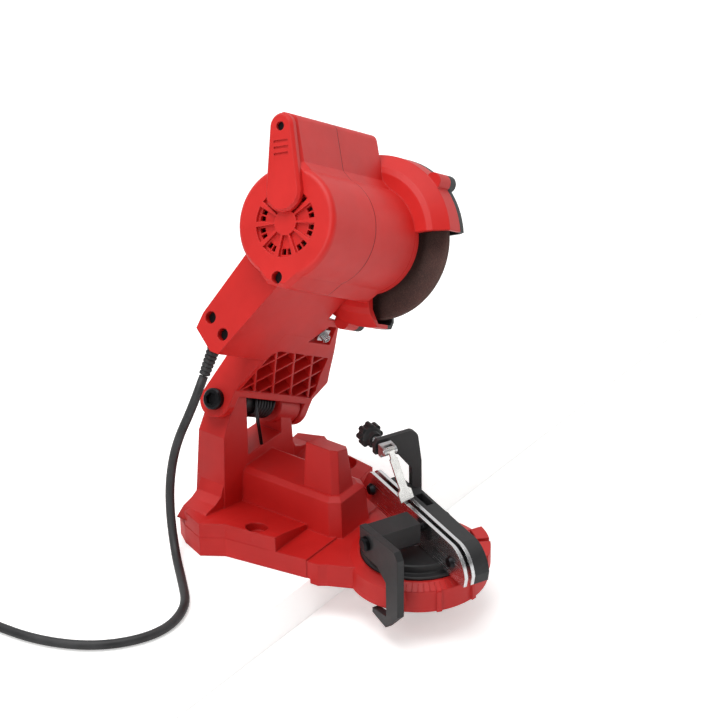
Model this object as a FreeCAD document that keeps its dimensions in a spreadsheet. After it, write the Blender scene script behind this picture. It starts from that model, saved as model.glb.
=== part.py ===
"""Electric chainsaw sharpener: a bench base with a chain vise on a turntable, and a grinding head on a tilted hinge.

Frame: millimetres, +Z up, origin on the bench, midway between the two bench screws; -Y is the front, +X is to the
right. The hinge and the motor shaft are parallel and lean down to the right by head_tilt.
Three local frames carry the sub-parts:
  head frame   x to the front, y up across the shaft, z along the shaft to the vent end, origin at the wheel's centre
  hinge frame  the same directions, origin in the middle of the hinge
  vise frame   x along the rails, y across them to the jaw block, z up, origin on the turntable's axis at bench level
"""
import FreeCAD, Part
import math
import os
import Sketcher
from FreeCAD import Matrix, Placement, Rotation, Vector

doc = FreeCAD.newDocument("chainsaw_sharpener")

SIZES = {
    # the two tilted axes
    "head_tilt": 28.7,
    "hinge_x": 12.6,
    "hinge_y": 48.0,
    "hinge_height": 77.6,
    "head_reach": 64.0,
    "head_rise": 135.1,
    "running_gap": 0.05,
    "seat_gap": 0.1,
    # base casting
    "foot_half_rear": 66.0,
    "foot_half_wide": 73.2,
    "foot_half_waist": 63.7,
    "foot_half_front": 53.6,
    "foot_rear_y": 64.5,
    "foot_front_y": -43.6,
    "foot_thickness": 14.75,
    "pad_height": 26.0,
    "wall": 4.5,
    "bench_hole_spacing": 104.0,
    "bench_hole_diameter": 9.5,
    "ledge_half": 19.1,
    "ledge_front_y": -44.8,
    "ledge_height": 40.7,
    "ledge_bevel": 4.4,
    "ledge_bevel_rise": 2.8,
    "tower_left_x": -13.0,
    "tower_right_x": 11.0,
    "tower_front_y": -40.0,
    "tower_rear_y": -11.5,
    "tower_height": 74.1,
    "ear_left_out": 37.2,
    "ear_left_in": 12.0,
    "ear_right_out": 37.2,
    "ear_right_in": 26.0,
    "ear_front_y": 37.5,
    "ear_depth_top": 20.0,
    "ear_depth_foot": 26.5,
    "ear_lug_radius": 12.0,
    "lug_left": 44.0,
    "lug_right": 38.0,
    "cross_wall_height": 51.0,
    # hinge
    "hinge_bolt_diameter": 10.0,
    "hinge_head_diameter": 15.0,
    "hinge_head_height": 5.0,
    "hinge_nut_flats": 15.0,
    "hinge_nut_height": 7.0,
    "bush_diameter": 14.5,
    "spring_wire": 2.6,
    "spring_diameter": 20.6,
    "spring_turns": 6.0,
    "leg_thickness": 7.4,
    "leg_end_radius": 12.75,
    # turntable and vise
    "turntable_y": -99.6,
    "drum_radius": 48.6,
    "drum_bottom": -3.8,
    "drum_band_top": 12.5,
    "drum_rim_radius": 41.6,
    "drum_rim_height": 16.0,
    "disc_radius": 39.5,
    "disc_seat": 11.0,
    "disc_height": 18.0,
    "disc_drum_radius": 34.0,
    "rail_bottom": 24.0,
    "rail_top": 48.6,
    "rail_left": -70.0,
    "rail_right": 69.3,
    "rail_thickness": 2.5,
    "rail_slot": 3.0,
    "jaw_thickness": 11.0,
    "clamp_axis_along": 9.0,
    "clamp_axis_height": 40.0,
    "clamp_bolt_diameter": 6.0,
    "clamp_plate_inner": 40.0,
    "clamp_plate_thickness": 5.0,
    "swivel_bolt_diameter": 8.0,
    "vise_turn": -114.8,
    "bracket_along": -36.0,
    "bracket_thickness": 4.0,
    "bracket_height": 88.5,
    "adjuster_across": -7.5,
    "adjuster_height": 83.0,
    "adjuster_diameter": 5.0,
    "star_knob_diameter": 18.0,
    "finger_width_top": 6.0,
    "finger_width_tip": 10.5,
    # grinding head
    "wheel_diameter": 108.0,
    "wheel_thickness": 3.2,
    "wheel_bore": 23.0,
    "flange_diameter": 40.0,
    "guard_gap": 5.8,
    "guard_slope_width": 8.8,
    "guard_back": 19.0,
    "guard_back_edge": 9.0,
    "guard_front_edge": 5.0,
    "guard_wall": 2.6,
    "guard_open_from": -70.0,
    "guard_open_to": 22.0,
    "guard_screw_beyond": 0.2,
    "cover_depth": 13.9,
    "barrel_radius": 37.8,
    "barrel_wall": 4.2,
    "seam_position": 70.0,
    "vent_end": 122.6,
    "cap_rounding": 4.0,
    "vent_radius": 22.8,
    "vent_hub_radius": 8.5,
    "vent_depth": 2.6,
    "vent_ribs": 10,
    "handle_cover_thickness": 5.2,
    "shaft_diameter": 8.0,
    "bearing_diameter": 22.0,
    "bearing_width": 7.0,
    "can_gap": 0.3,
    "magnet_thickness": 5.85,
    "core_gap": 1.0,
    "can_wall": 2.2,
    # arm and yoke
    "arm_end": 106.5,
    "yoke_left": 52.0,
    "yoke_right": 47.0,
    "arm_slope": 60.27,
    "lattice_pitch": 23.0,
    "lattice_rib": 1.8,
    "lattice_depth": 13.0,
    "depth_screw_diameter": 6.0,
    "depth_screw_side": 7.0,
    "screw_recess_diameter": 8.5,
    # mains lead
    "cord_diameter": 6.4,
    "boot_diameter": 9.4,
    "coil_diameter": 70.0,
}


class Size:
    """A number with the spreadsheet formula that gives it, so that plain sums also bind a feature to the sheet."""

    def __init__(self, value, formula=None):
        self.value = float(value)
        self.formula = formula or "(%.6f)" % float(value)

    @staticmethod
    def of(thing):
        return thing if isinstance(thing, Size) else Size(thing)

    def __add__(self, other):
        other = Size.of(other)
        return Size(self.value + other.value, "(%s + %s)" % (self.formula, other.formula))

    def __radd__(self, other):
        return Size.of(other) + self

    def __sub__(self, other):
        other = Size.of(other)
        return Size(self.value - other.value, "(%s - %s)" % (self.formula, other.formula))

    def __rsub__(self, other):
        return Size.of(other) - self

    def __mul__(self, other):
        other = Size.of(other)
        return Size(self.value * other.value, "(%s * %s)" % (self.formula, other.formula))

    def __rmul__(self, other):
        return Size.of(other) * self

    def __truediv__(self, other):
        other = Size.of(other)
        return Size(self.value / other.value, "(%s / %s)" % (self.formula, other.formula))

    def __rtruediv__(self, other):
        return Size.of(other) / self

    def __neg__(self):
        return Size(-self.value, "(-%s)" % self.formula)


def cosine(angle):
    angle = Size.of(angle)
    return Size(math.cos(math.radians(angle.value)), "cos(%s * 1 deg)" % angle.formula)


def sine(angle):
    angle = Size.of(angle)
    return Size(math.sin(math.radians(angle.value)), "sin(%s * 1 deg)" % angle.formula)


class Sheet:
    """The driving dimensions as attributes, each one bound to its cell."""


def fill_sheet():
    sheet = doc.addObject("Spreadsheet::Sheet", "Sizes")
    named = Sheet()
    for row, (alias, value) in enumerate(SIZES.items(), start=1):
        sheet.set("A%d" % row, alias)
        sheet.set("B%d" % row, str(value))
        sheet.setAlias("B%d" % row, alias)
        setattr(named, alias, Size(value, "Sizes." + alias))
    doc.recompute()
    return named


S = fill_sheet()


# ---------------------------------------------------------------------------------------------- modelling helpers

def bind(thing, name, amount):
    """Sets a property and, where the amount comes from the sheet, binds it there."""
    amount = Size.of(amount)
    if "Sizes." in amount.formula:
        thing.setExpression(name, amount.formula)
    elif "." not in name:
        setattr(thing, name, amount.value)
    else:
        thing.setExpression(name, amount.formula)


def new_body(label, place=Placement()):
    body = doc.addObject("PartDesign::Body", label)
    body.Label = label
    body.Placement = place
    return body


def origin_plane(body, role):
    return next(each for each in body.Origin.OriginFeatures if each.Role == role)


def new_sketch(body, plane="XY", offset=0.0, frame=None):
    """A sketch on one of the body's own origin planes: XY looks down Z, XZ looks along -Y, YZ looks along X."""
    sketch = body.newObject("Sketcher::SketchObject", body.Label + "_sketch")
    sketch.AttachmentSupport = [(origin_plane(body, plane + "_Plane"), "")]
    sketch.MapMode = "FlatFace"
    if frame is not None:
        sketch.AttachmentOffset = frame
    else:
        bind(sketch, "AttachmentOffset.Base.z", offset)
    return sketch


def draw(sketch, outline):
    """A closed outline of (x, y) points. A third number is the radius of the arc that ends at that point, positive
    where the arc turns left."""
    spots = [(Size.of(item[0]), Size.of(item[1])) for item in outline]
    shapes = []
    ends = []
    for index, item in enumerate(outline):
        start = Vector(spots[index - 1][0].value, spots[index - 1][1].value, 0)
        end = Vector(spots[index][0].value, spots[index][1].value, 0)
        if len(item) == 2:
            shapes.append(Part.LineSegment(start, end))
            ends.append((1, 2))
            continue
        radius = Size.of(item[2]).value
        half = (end - start) * 0.5
        rise = math.sqrt(max(radius * radius - half.Length ** 2, 0.0))
        left = Vector(-half.y, half.x, 0).normalize() * math.copysign(rise, radius)
        centre = start + half + left
        first, last = (start, end) if radius > 0 else (end, start)
        circle = Part.Circle(centre, Vector(0, 0, 1), abs(radius))
        from_angle = math.atan2(first.y - centre.y, first.x - centre.x)
        to_angle = math.atan2(last.y - centre.y, last.x - centre.x)
        shapes.append(Part.ArcOfCircle(circle, from_angle, to_angle))
        ends.append((1, 2) if radius > 0 else (2, 1))
    base = sketch.GeometryCount
    sketch.addGeometry(shapes, False)
    count = len(outline)
    rules = []
    bindings = []
    for index in range(count):
        before = (index - 1) % count
        rules.append(Sketcher.Constraint("Coincident", base + before, ends[before][1], base + index, ends[index][0]))
    for index, (across, up) in enumerate(spots):
        for kind, amount in (("DistanceX", across), ("DistanceY", up)):
            bindings.append((len(rules), amount))
            rules.append(Sketcher.Constraint(kind, -1, 1, base + index, ends[index][1], amount.value))
        if len(outline[index]) == 3:
            radius = Size.of(outline[index][2])
            radius = radius if radius.value > 0 else -radius
            bindings.append((len(rules), radius))
            rules.append(Sketcher.Constraint("Radius", base + index, radius.value))
    bind_rules(sketch, rules, bindings)


def draw_circle(sketch, across, up, radius):
    across, up, radius = Size.of(across), Size.of(up), Size.of(radius)
    base = sketch.GeometryCount
    circle = Part.Circle(Vector(across.value, up.value, 0), Vector(0, 0, 1), radius.value)
    sketch.addGeometry([circle], False)
    rules = [
        Sketcher.Constraint("DistanceX", -1, 1, base, 3, across.value),
        Sketcher.Constraint("DistanceY", -1, 1, base, 3, up.value),
        Sketcher.Constraint("Radius", base, radius.value),
    ]
    bind_rules(sketch, rules, [(0, across), (1, up), (2, radius)])


def bind_rules(sketch, rules, bindings):
    first = sketch.ConstraintCount
    sketch.addConstraint(rules)
    for index, amount in bindings:
        if "Sizes." in amount.formula:
            sketch.setExpression("Constraints[%d]" % (first + index), amount.formula)


def extrude(kind, body, sketch, length):
    """Pads or pockets a sketch along its own normal."""
    feature = body.newObject("PartDesign::" + kind, body.Label + "_" + kind.lower())
    feature.Profile = sketch
    bind(feature, "Length", length)
    feature.Reversed = kind == "Pocket"
    return feature


def pad(body, outline, start, end, plane="XY"):
    """Adds a prism between two levels of an origin plane."""
    sketch = new_sketch(body, plane, start)
    draw(sketch, outline)
    return extrude("Pad", body, sketch, Size.of(end) - start)


def cut(body, outline, start, end, plane="XY"):
    sketch = new_sketch(body, plane, start)
    draw(sketch, outline)
    return extrude("Pocket", body, sketch, Size.of(end) - start)


def disc(body, across, up, radius, start, end, plane="XY", bore=None):
    sketch = new_sketch(body, plane, start)
    draw_circle(sketch, across, up, radius)
    if bore is not None:
        draw_circle(sketch, across, up, bore)
    return extrude("Pad", body, sketch, Size.of(end) - start)


def bore(body, spots, radius, start, end, plane="XY"):
    """Drills round holes at (x, y) spots."""
    sketch = new_sketch(body, plane, start)
    for across, up in spots:
        draw_circle(sketch, across, up, radius)
    return extrude("Pocket", body, sketch, Size.of(end) - start)


def on_frame(body, frame, shapes, length, kind="Pad"):
    """Pads or pockets outlines or (x, y, radius, "circle") rounds drawn on a free frame of the body."""
    sketch = new_sketch(body, "XY", 0.0, frame)
    for shape in shapes:
        if shape[-1] == "circle":
            draw_circle(sketch, shape[0], shape[1], shape[2])
        else:
            draw(sketch, shape)
    return extrude(kind, body, sketch, length)


def turn(body, outline, kind="Revolution"):
    """Revolves an (r, z) outline around the body's Z axis."""
    sketch = new_sketch(body, "XZ")
    draw(sketch, outline)
    feature = body.newObject("PartDesign::" + kind, body.Label + "_" + kind.lower())
    feature.Profile = sketch
    feature.ReferenceAxis = (sketch, ["V_Axis"])
    feature.Angle = 360.0
    return feature


def loft(body, sections, plane="XY", ruled=True):
    """Joins outlines on parallel planes: sections is a list of (level, outline)."""
    sketches = []
    for level, outline in sections:
        sketch = new_sketch(body, plane, level)
        draw(sketch, outline)
        sketches.append(sketch)
    feature = body.newObject("PartDesign::AdditiveLoft", body.Label + "_loft")
    feature.Profile = sketches[0]
    feature.Sections = sketches[1:]
    feature.Ruled = ruled
    return feature


def repeat(body, features, count, axis="N_Axis", sketch=None):
    """Repeats features evenly around the Z axis of the body."""
    pattern = body.newObject("PartDesign::PolarPattern", body.Label + "_pattern")
    pattern.Originals = features
    pattern.Axis = (sketch or features[0].Profile[0], [axis])
    pattern.Angle = 360.0
    if isinstance(count, Size):
        pattern.setExpression("Occurrences", count.formula)
    else:
        pattern.Occurrences = count
    body.Tip = pattern
    return pattern


def mirror(body, features, plane="YZ"):
    """Mirrors features across one of the body's origin planes."""
    copy = body.newObject("PartDesign::Mirrored", body.Label + "_mirrored")
    copy.Originals = features
    copy.MirrorPlane = (origin_plane(body, plane + "_Plane"), [""])
    body.Tip = copy
    return copy


def both_sides(right):
    """A symmetric outline from its right half, listed from rear to front."""
    return right + [(-Size.of(x), y) for x, y in reversed(right)]


def box(x0, x1, y0, y1):
    return [(x0, y0), (x1, y0), (x1, y1), (x0, y1)]


def polar(radius, angle, centre=(0.0, 0.0)):
    return (centre[0] + Size.of(radius) * cosine(angle), centre[1] + Size.of(radius) * sine(angle))


def sector(inner, outer, start, end, centre=(0.0, 0.0)):
    """An annular sector of under half a turn."""
    return [
        polar(inner, start, centre) + (-Size.of(inner),),
        polar(outer, start, centre),
        polar(outer, end, centre) + (Size.of(outer),),
        polar(inner, end, centre),
    ]


def hexagon(flats):
    return [polar(Size.of(flats) / (2.0 * cosine(30.0)), 60.0 * k) for k in range(6)]


def frame_on(origin, x_axis, z_axis):
    """A placement from an origin, an x direction and a normal."""
    z_axis = Vector(*z_axis).normalize()
    x_axis = Vector(*x_axis)
    x_axis = (x_axis - z_axis * x_axis.dot(z_axis)).normalize()
    y_axis = z_axis.cross(x_axis)
    matrix = Matrix(
        x_axis.x, y_axis.x, z_axis.x, origin[0],
        x_axis.y, y_axis.y, z_axis.y, origin[1],
        x_axis.z, y_axis.z, z_axis.z, origin[2],
        0, 0, 0, 1)
    return Placement(matrix)


# ------------------------------------------------------------------------------------------------- the three frames

tilt = math.radians(S.head_tilt.value)
hinge_point = Vector(S.hinge_x.value, S.hinge_y.value, S.hinge_height.value)
to_front = Vector(0, -1, 0)
up_across = Vector(math.sin(tilt), 0, math.cos(tilt))
to_vent = Vector(-math.cos(tilt), 0, math.sin(tilt))
wheel_centre = hinge_point + to_front * S.head_reach.value + up_across * S.head_rise.value
HINGE = frame_on(hinge_point, to_front, to_vent)
HEAD = frame_on(wheel_centre, to_front, to_vent)
VISE = Placement(Vector(0, S.turntable_y.value, 0), Rotation(Vector(0, 0, 1), S.vise_turn.value))
HINGE_IN_HEAD = (-S.head_reach, -S.head_rise)


# --------------------------------------------------------------------------------------------------------- the base

def base_casting():
    """One moulded base: waisted foot with two bench-screw pads, ledge with the stop tower, two hinge ears, and the
    round seat of the turntable that hangs in front of the bench edge."""
    body = new_body("base_casting")
    foot = both_sides([
        (S.foot_half_rear - 8.0, S.foot_rear_y),
        (S.foot_half_rear, S.foot_rear_y - 11.0),
        (S.foot_half_wide, 34.5),
        (S.foot_half_waist, 19.4),
        (S.foot_half_front, S.foot_front_y),
    ])
    pad(body, foot, 0.0, S.foot_thickness)

    # side pads slope down from the outer edge to the ledge
    def pad_section(outer):
        return [(16.0, 6.0), (outer, 6.0), (outer, S.pad_height), (outer - 8.0, S.pad_height - 1.0), (16.0, 17.0)]
    side = loft(body, [
        (20.0, pad_section(S.foot_half_waist - 6.4)),
        (-19.4, pad_section(S.foot_half_waist - 0.3)),
        (-34.5, pad_section(S.foot_half_wide - 0.3)),
        (11.0 - S.foot_rear_y, pad_section(S.foot_half_rear - 0.3)),
    ], "XZ")
    mirror(body, [side])

    # ledge with drafted walls and a bevelled rim
    def ledge(half, front, rear, chamfer):
        return both_sides([(half, rear), (half, front + 1.4 * chamfer), (half - chamfer, front)])
    loft(body, [
        (8.0, ledge(S.ledge_half + 2.6, S.ledge_front_y - 2.4, 40.0, 5.4)),
        (S.ledge_height, ledge(S.ledge_half, S.ledge_front_y, 39.0, 5.3)),
        (S.ledge_height + S.ledge_bevel_rise,
         ledge(S.ledge_half - S.ledge_bevel, S.ledge_front_y + 3.8, 38.0, 4.0)),
    ])

    # stop tower, its top square to the lowered depth screw
    def tower(grow):
        left, right = S.tower_left_x - grow, S.tower_right_x + grow
        front, rear = S.tower_front_y - grow, S.tower_rear_y + 0.3 * grow
        return [(left, rear), (left, front + 4.0), (left + 4.0, front), (right - 4.0, front),
                (right, front + 4.0), (right, rear)]
    top = S.ledge_height + S.ledge_bevel_rise
    loft(body, [(top - 4.0, tower(0.3)), (S.tower_height + 6.0, tower(-3.4))])
    cut(body, [
        (-30.0, S.tower_height + 30.0 * 0.294),
        (30.0, S.tower_height - 30.0 * 0.294),
        (30.0, S.tower_height + 30.0),
        (-30.0, S.tower_height + 30.0),
    ], 0.0, 60.0, "XZ")

    ears(body)
    front_seat(body)

    # bench-screw holes, the hollow underside and the tilted hinge bore
    hole_x = S.bench_hole_spacing / 2.0
    bore(body, [(hole_x, 0.0), (-hole_x, 0.0)], S.bench_hole_diameter / 2.0, -1.0, S.pad_height + 2.0)
    bore(body, [(hole_x, 0.0), (-hole_x, 0.0)], S.bench_hole_diameter / 2.0 + 3.2, 17.5, S.pad_height + 4.0)
    boss = hole_x - S.bench_hole_diameter / 2.0 - S.wall
    cut(body, both_sides([
        (S.foot_half_rear - 13.0, S.foot_rear_y - S.wall),
        (S.foot_half_rear - S.wall, S.foot_rear_y - 14.0),
        (S.foot_half_wide - 7.5, 34.5),
        (S.foot_half_waist - 6.5, 22.0),
        (boss, 14.0),
        (boss, S.foot_front_y + S.wall),
    ]), -0.5, S.foot_thickness - S.wall)
    on_frame(body, HINGE.multiply(Placement(Vector(0, 0, -60), Rotation())),
             [(0.0, 0.0, S.hinge_bolt_diameter / 2.0 + S.running_gap, "circle")], 120.0, "Pocket")
    return body


def ears(body):
    """Two upright ears, drafted outside, whose round tops and tilted outer faces follow the hinge."""
    front = S.ear_front_y

    def left_ear(grow, depth):
        return box(-S.ear_left_out - grow, -S.ear_left_in, front, front + depth)

    def right_ear(grow, depth):
        return box(S.ear_right_in, S.ear_right_out + grow, front, front + depth)
    low = S.foot_thickness - 4.0
    for shape, height in ((left_ear, S.hinge_height + 36.0), (right_ear, S.hinge_height + 2.0)):
        loft(body, [
            (low, shape(4.6, S.ear_depth_foot)),
            (low + 20.0, shape(2.6, S.ear_depth_foot - 1.0)),
            (height, shape(-0.6, S.ear_depth_top)),
        ])
    # concave feet that spread the ears onto the pads
    for side_of in (1.0, -1.0):
        out = S.ear_left_out
        pad(body, [
            (side_of * (out - 4.0), S.pad_height - 8.0),
            (side_of * (out + 30.0), S.pad_height - 6.0),
            (side_of * (out + 22.0), S.pad_height - 0.4),
            (side_of * (out + 13.0), S.pad_height + 1.5),
            (side_of * (out + 6.0), S.pad_height + 5.0),
            (side_of * (out - 1.0), S.pad_height + 20.0),
        ], -front - 22.0, -front - 1.0, "XZ")
    # cross wall that carries the spring's lower leg
    pad(body, box(-S.ear_left_in - 1.0, S.ear_right_in + 1.0, front, front + 23.0), low, S.cross_wall_height)
    # lug of the lower ear
    lug = HINGE.multiply(Placement(Vector(0, 0, -S.lug_right.value), Rotation()))
    on_frame(body, lug, [(0.0, 0.0, S.ear_lug_radius, "circle")], S.lug_right - 14.0)
    # everything above the round tops, and outside the slanted outer face of the left ear
    radius = S.ear_lug_radius
    above = HINGE.multiply(Placement(Vector(0, 0, -60), Rotation()))
    on_frame(body, above, [[
        (radius, 0.0), (0.0, radius, radius), (-radius, 0.0, radius), (-radius - 6.0, 0.0), (-radius - 6.0, 60.0),
        (radius + 6.0, 60.0), (radius + 6.0, 0.0),
    ]], 130.0, "Pocket")
    outside = HINGE.multiply(Placement(Vector(0, 0, S.lug_left.value), Rotation()))
    on_frame(body, outside, [box(-40.0, 40.0, -60.0, 60.0)], 40.0, "Pocket")


def front_seat(body):
    """Neck in front of the bench edge and the round seat of the turntable, with its lugs and ribs."""
    centre_y = S.turntable_y
    pad(body, both_sides([
        (S.foot_half_front - 0.6, S.foot_front_y + 1.0),
        (S.foot_half_front - 1.2, S.foot_front_y - 9.0),
        (48.8, -58.0),
        (39.6, -78.0),
        (39.4, centre_y + 6.0),
    ]), S.drum_bottom, S.drum_band_top + 1.0)
    disc(body, 0.0, centre_y, S.drum_radius, S.drum_bottom, S.drum_band_top)
    sketch = new_sketch(body, "XY", S.drum_band_top)
    draw_circle(sketch, 0.0, centre_y, S.drum_radius)
    rim = extrude("Pad", body, sketch, S.drum_rim_height - S.drum_band_top)
    rise = S.drum_rim_height - S.drum_band_top
    rim.TaperAngle = -math.degrees(math.atan((S.drum_radius - S.drum_rim_radius).value / rise.value))
    # index lugs on the right of the rim
    for inner, outer, start, end, low_at in ((40.8, 50.0, -45.0, -27.0, 6.0), (40.8, 50.2, -72.0, -50.0, 7.0)):
        pad(body, sector(inner, outer, start, end, (0.0, centre_y)), low_at, S.drum_rim_height + 3.4)
    # ribs down the outside of the band
    for angle in (-158.0, -128.0, -95.0, -22.0):
        pad(body, sector(44.0, S.drum_radius + 1.5, angle - 2.2, angle + 2.2, (0.0, centre_y)),
            S.drum_bottom, S.drum_band_top)
    seat = S.disc_radius + 0.4
    bore(body, [(0.0, centre_y)], seat, S.disc_seat, S.drum_rim_height + 12.0)
    bore(body, [(0.0, centre_y)], S.swivel_bolt_diameter / 2.0 + S.running_gap, S.drum_bottom - 1.0,
         S.disc_seat + 1.0)
    hollow = new_sketch(body, "XY", S.drum_bottom - 0.5)
    draw_circle(hollow, 0.0, centre_y, S.drum_radius - S.wall)
    draw_circle(hollow, 0.0, centre_y, 21.0)
    extrude("Pocket", body, hollow, S.disc_seat - S.drum_bottom - 4.0)


# -------------------------------------------------------------------------------------------------------- the hinge

def hinge_bolt():
    body = new_body("hinge_bolt", HINGE)
    radius = S.hinge_bolt_diameter / 2.0
    head = S.yoke_left + S.seat_gap
    head_radius = S.hinge_head_diameter / 2.0
    end = -S.yoke_right - S.hinge_nut_height - 3.0
    turn(body, [
        (0.0, end), (radius - 1.0, end), (radius, end + 1.0), (radius, head), (head_radius, head),
        (head_radius, head + S.hinge_head_height - 1.2), (head_radius - 1.2, head + S.hinge_head_height),
        (0.0, head + S.hinge_head_height),
    ])
    cut(body, hexagon(8.0), head + 1.5, head + S.hinge_head_height + 1.0)
    return body


def hinge_nut():
    body = new_body("hinge_nut", HINGE)
    top = -S.yoke_right - S.seat_gap
    pad(body, hexagon(S.hinge_nut_flats), top - S.hinge_nut_height, top)
    bore(body, [(0.0, 0.0)], S.hinge_bolt_diameter / 2.0 + 0.02, top - S.hinge_nut_height - 1.0, top + 1.0)
    return body


def spring_bush():
    """Sleeve on the bolt between the ears; the torsion spring is wound round it."""
    body = new_body("spring_bush", HINGE)
    inner = S.hinge_bolt_diameter / 2.0 + 0.02
    outer = S.bush_diameter / 2.0
    turn(body, [(inner, -11.0), (outer, -11.0), (outer, 23.0), (inner, 23.0)])
    return body


def torsion_spring():
    """Lifts the head: a wound wire with one leg forward onto the cross wall and one up into the arm.

    The helix is a path of short straight runs and the wire has eight sides, so that it keeps few faces.
    """
    wire = S.spring_wire.value / 2.0
    mean = S.spring_diameter.value / 2.0 - wire
    pitch = S.spring_wire.value + 1.0
    turns, runs, sides = int(S.spring_turns.value), 10, 8
    low, lower_leg, upper_leg = -7.0, 20.0, 6.0
    points = []
    for step in range(turns * runs + 1):
        angle = 2.0 * math.pi * step / runs
        points.append(Vector(mean * math.cos(angle), mean * math.sin(angle), low + pitch * step / runs))
    points.insert(0, points[0] - Vector(0, lower_leg, 0.02 * lower_leg))
    points.append(points[-1] + Vector(0, upper_leg, 0.02 * upper_leg))
    leg = (points[1] - points[0]).normalize()
    one, two = Vector(1, 0, 0), leg.cross(Vector(1, 0, 0))
    corners = [2.0 * math.pi * (k % sides) / sides for k in range(sides + 1)]
    section = Part.makePolygon([points[0] + (one * math.cos(a) + two * math.sin(a)) * wire for a in corners])
    feature = doc.addObject("Part::Feature", "torsion_spring")
    feature.Label = "torsion_spring"
    feature.Shape = Part.makePolygon(points).makePipeShell([section], True, True, 1)
    feature.Placement = HINGE
    return feature


# ------------------------------------------------------------------------------------------ turntable and chain vise

def turntable_disc():
    body = new_body("turntable_disc", VISE)
    bolt = S.swivel_bolt_diameter / 2.0 + 0.02
    bottom = S.disc_seat + S.seat_gap
    turn(body, [
        (bolt, bottom), (S.disc_radius - 0.8, bottom), (S.disc_radius, bottom + 0.8),
        (S.disc_radius, S.disc_height - 0.8), (S.disc_radius - 0.8, S.disc_height),
        (S.disc_drum_radius + 0.6, S.disc_height), (S.disc_drum_radius, S.disc_height + 0.8),
        (S.disc_drum_radius, S.rail_bottom - 1.2), (S.disc_drum_radius - 1.0, S.rail_bottom - 0.2),
        (bolt, S.rail_bottom - 0.2),
    ])
    bore(body, [(0.0, 0.0)], 8.5, S.rail_bottom - 6.0, S.rail_bottom + 1.0)
    return body


def turntable_bolt():
    body = new_body("turntable_bolt", VISE)
    radius = S.swivel_bolt_diameter / 2.0
    top = S.rail_bottom - 6.0 + 5.0
    turn(body, [
        (0.0, -20.0), (radius - 0.8, -20.0), (radius, -19.2), (radius, S.rail_bottom - 5.9),
        (8.0, S.rail_bottom - 5.9), (8.0, top - 0.6), (7.4, top), (0.0, top),
    ])
    return body


def lock_knob():
    """Six-lobed knob under the seat that locks the turntable."""
    body = new_body("lock_knob", Placement(Vector(0, S.turntable_y.value, 0), Rotation()))
    top = S.drum_bottom - 0.3
    turn(body, [
        (S.swivel_bolt_diameter / 2.0 + S.running_gap, top), (10.0, top), (10.0, top - 3.0), (15.0, top - 4.0),
        (15.0, top - 13.0), (13.5, top - 14.5), (S.swivel_bolt_diameter / 2.0 + S.running_gap, top - 14.5),
    ])
    lobe = disc(body, 14.0, 0.0, 5.0, top - 13.5, top - 4.0)
    repeat(body, [lobe], 6)
    return body


def rail_outline():
    """Side view of a chain rail: straight top, both ends swept down."""
    low, top = S.rail_bottom + 0.2, S.rail_top
    left, right = S.rail_left, S.rail_right
    return [
        (left + 3.0, low), (right - 1.7, low), (right, low + 7.5), (right - 6.5, top - 4.8, 22.0),
        (right - 17.5, top, 18.0), (left + 13.0, top), (left + 8.5, top - 2.4, 9.0), (left, low + 7.0, 60.0),
    ]


PIN_ALONG = (-57.2, 51.1)
PIN_HEIGHT = 35.2


def rail_fixed():
    body = new_body("rail_fixed", VISE)
    start = S.rail_slot / 2.0
    pad(body, rail_outline(), -start - S.rail_thickness, -start, "XZ")
    drill_rail(body)
    return body


def rail_moving():
    body = new_body("rail_moving", VISE)
    start = S.rail_slot / 2.0
    pad(body, rail_outline(), start, start + S.rail_thickness, "XZ")
    drill_rail(body)
    return body


def drill_rail(body):
    clamp = S.clamp_bolt_diameter / 2.0 + 0.15
    bore(body, [(S.clamp_axis_along, S.clamp_axis_height)], clamp, -20.0, 20.0, "XZ")
    bore(body, [(x, PIN_HEIGHT) for x in PIN_ALONG], 2.1, -20.0, 20.0, "XZ")


def rail_pins():
    """Two domed guide pins, riveted in the moving rail and sliding in the fixed rail and the jaw block."""
    body = new_body("rail_pins", VISE)
    near = S.rail_slot / 2.0 + S.rail_thickness
    for along in PIN_ALONG:
        sketch = new_sketch(body, "XZ", -11.0)
        draw_circle(sketch, along, PIN_HEIGHT, 2.0)
        extrude("Pad", body, sketch, near + 12.0)
        head = new_sketch(body, "XZ", near)
        draw_circle(head, along, PIN_HEIGHT, 4.5)
        dome = extrude("Pad", body, head, 2.4)
        dome.TaperAngle = -28.0
    return body


def vise_jaw():
    """Black block behind the fixed rail with the same end profile; its low left end carries the stop bracket."""
    body = new_body("vise_jaw", VISE)
    start = S.rail_slot / 2.0 + S.rail_thickness + 0.02
    end = start + S.jaw_thickness
    low, top, right = S.rail_bottom, S.rail_top, S.rail_right
    pad(body, [
        (-52.0, low + 4.0), (-46.0, low), (right - 1.7, low), (right, low + 7.7), (right - 6.5, top - 4.8, 22.0),
        (right - 17.5, top, 18.0), (-24.0, top), (-28.0, top - 4.0), (-50.0, top - 4.0), (-52.0, top - 6.0),
    ], -end, -start, "XZ")
    clamp = S.clamp_bolt_diameter / 2.0 + 0.02
    bore(body, [(S.clamp_axis_along, S.clamp_axis_height)], clamp, -20.0, 20.0, "XZ")
    bore(body, [(x, PIN_HEIGHT) for x in PIN_ALONG[1:]], 2.1, -12.0, 2.0, "XZ")
    # long pocket in the top
    cut(body, box(-16.0, 0.0, start + 3.0, end - 2.2), top - 6.0, top + 1.0)
    cut(body, box(20.0, 48.0, end - 3.0, end + 1.0), low + 4.0, top - 8.0)
    cut(body, box(-40.0, -20.0, start - 1.0, start + 2.2), low - 1.0, low + 8.0)
    return body


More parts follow.
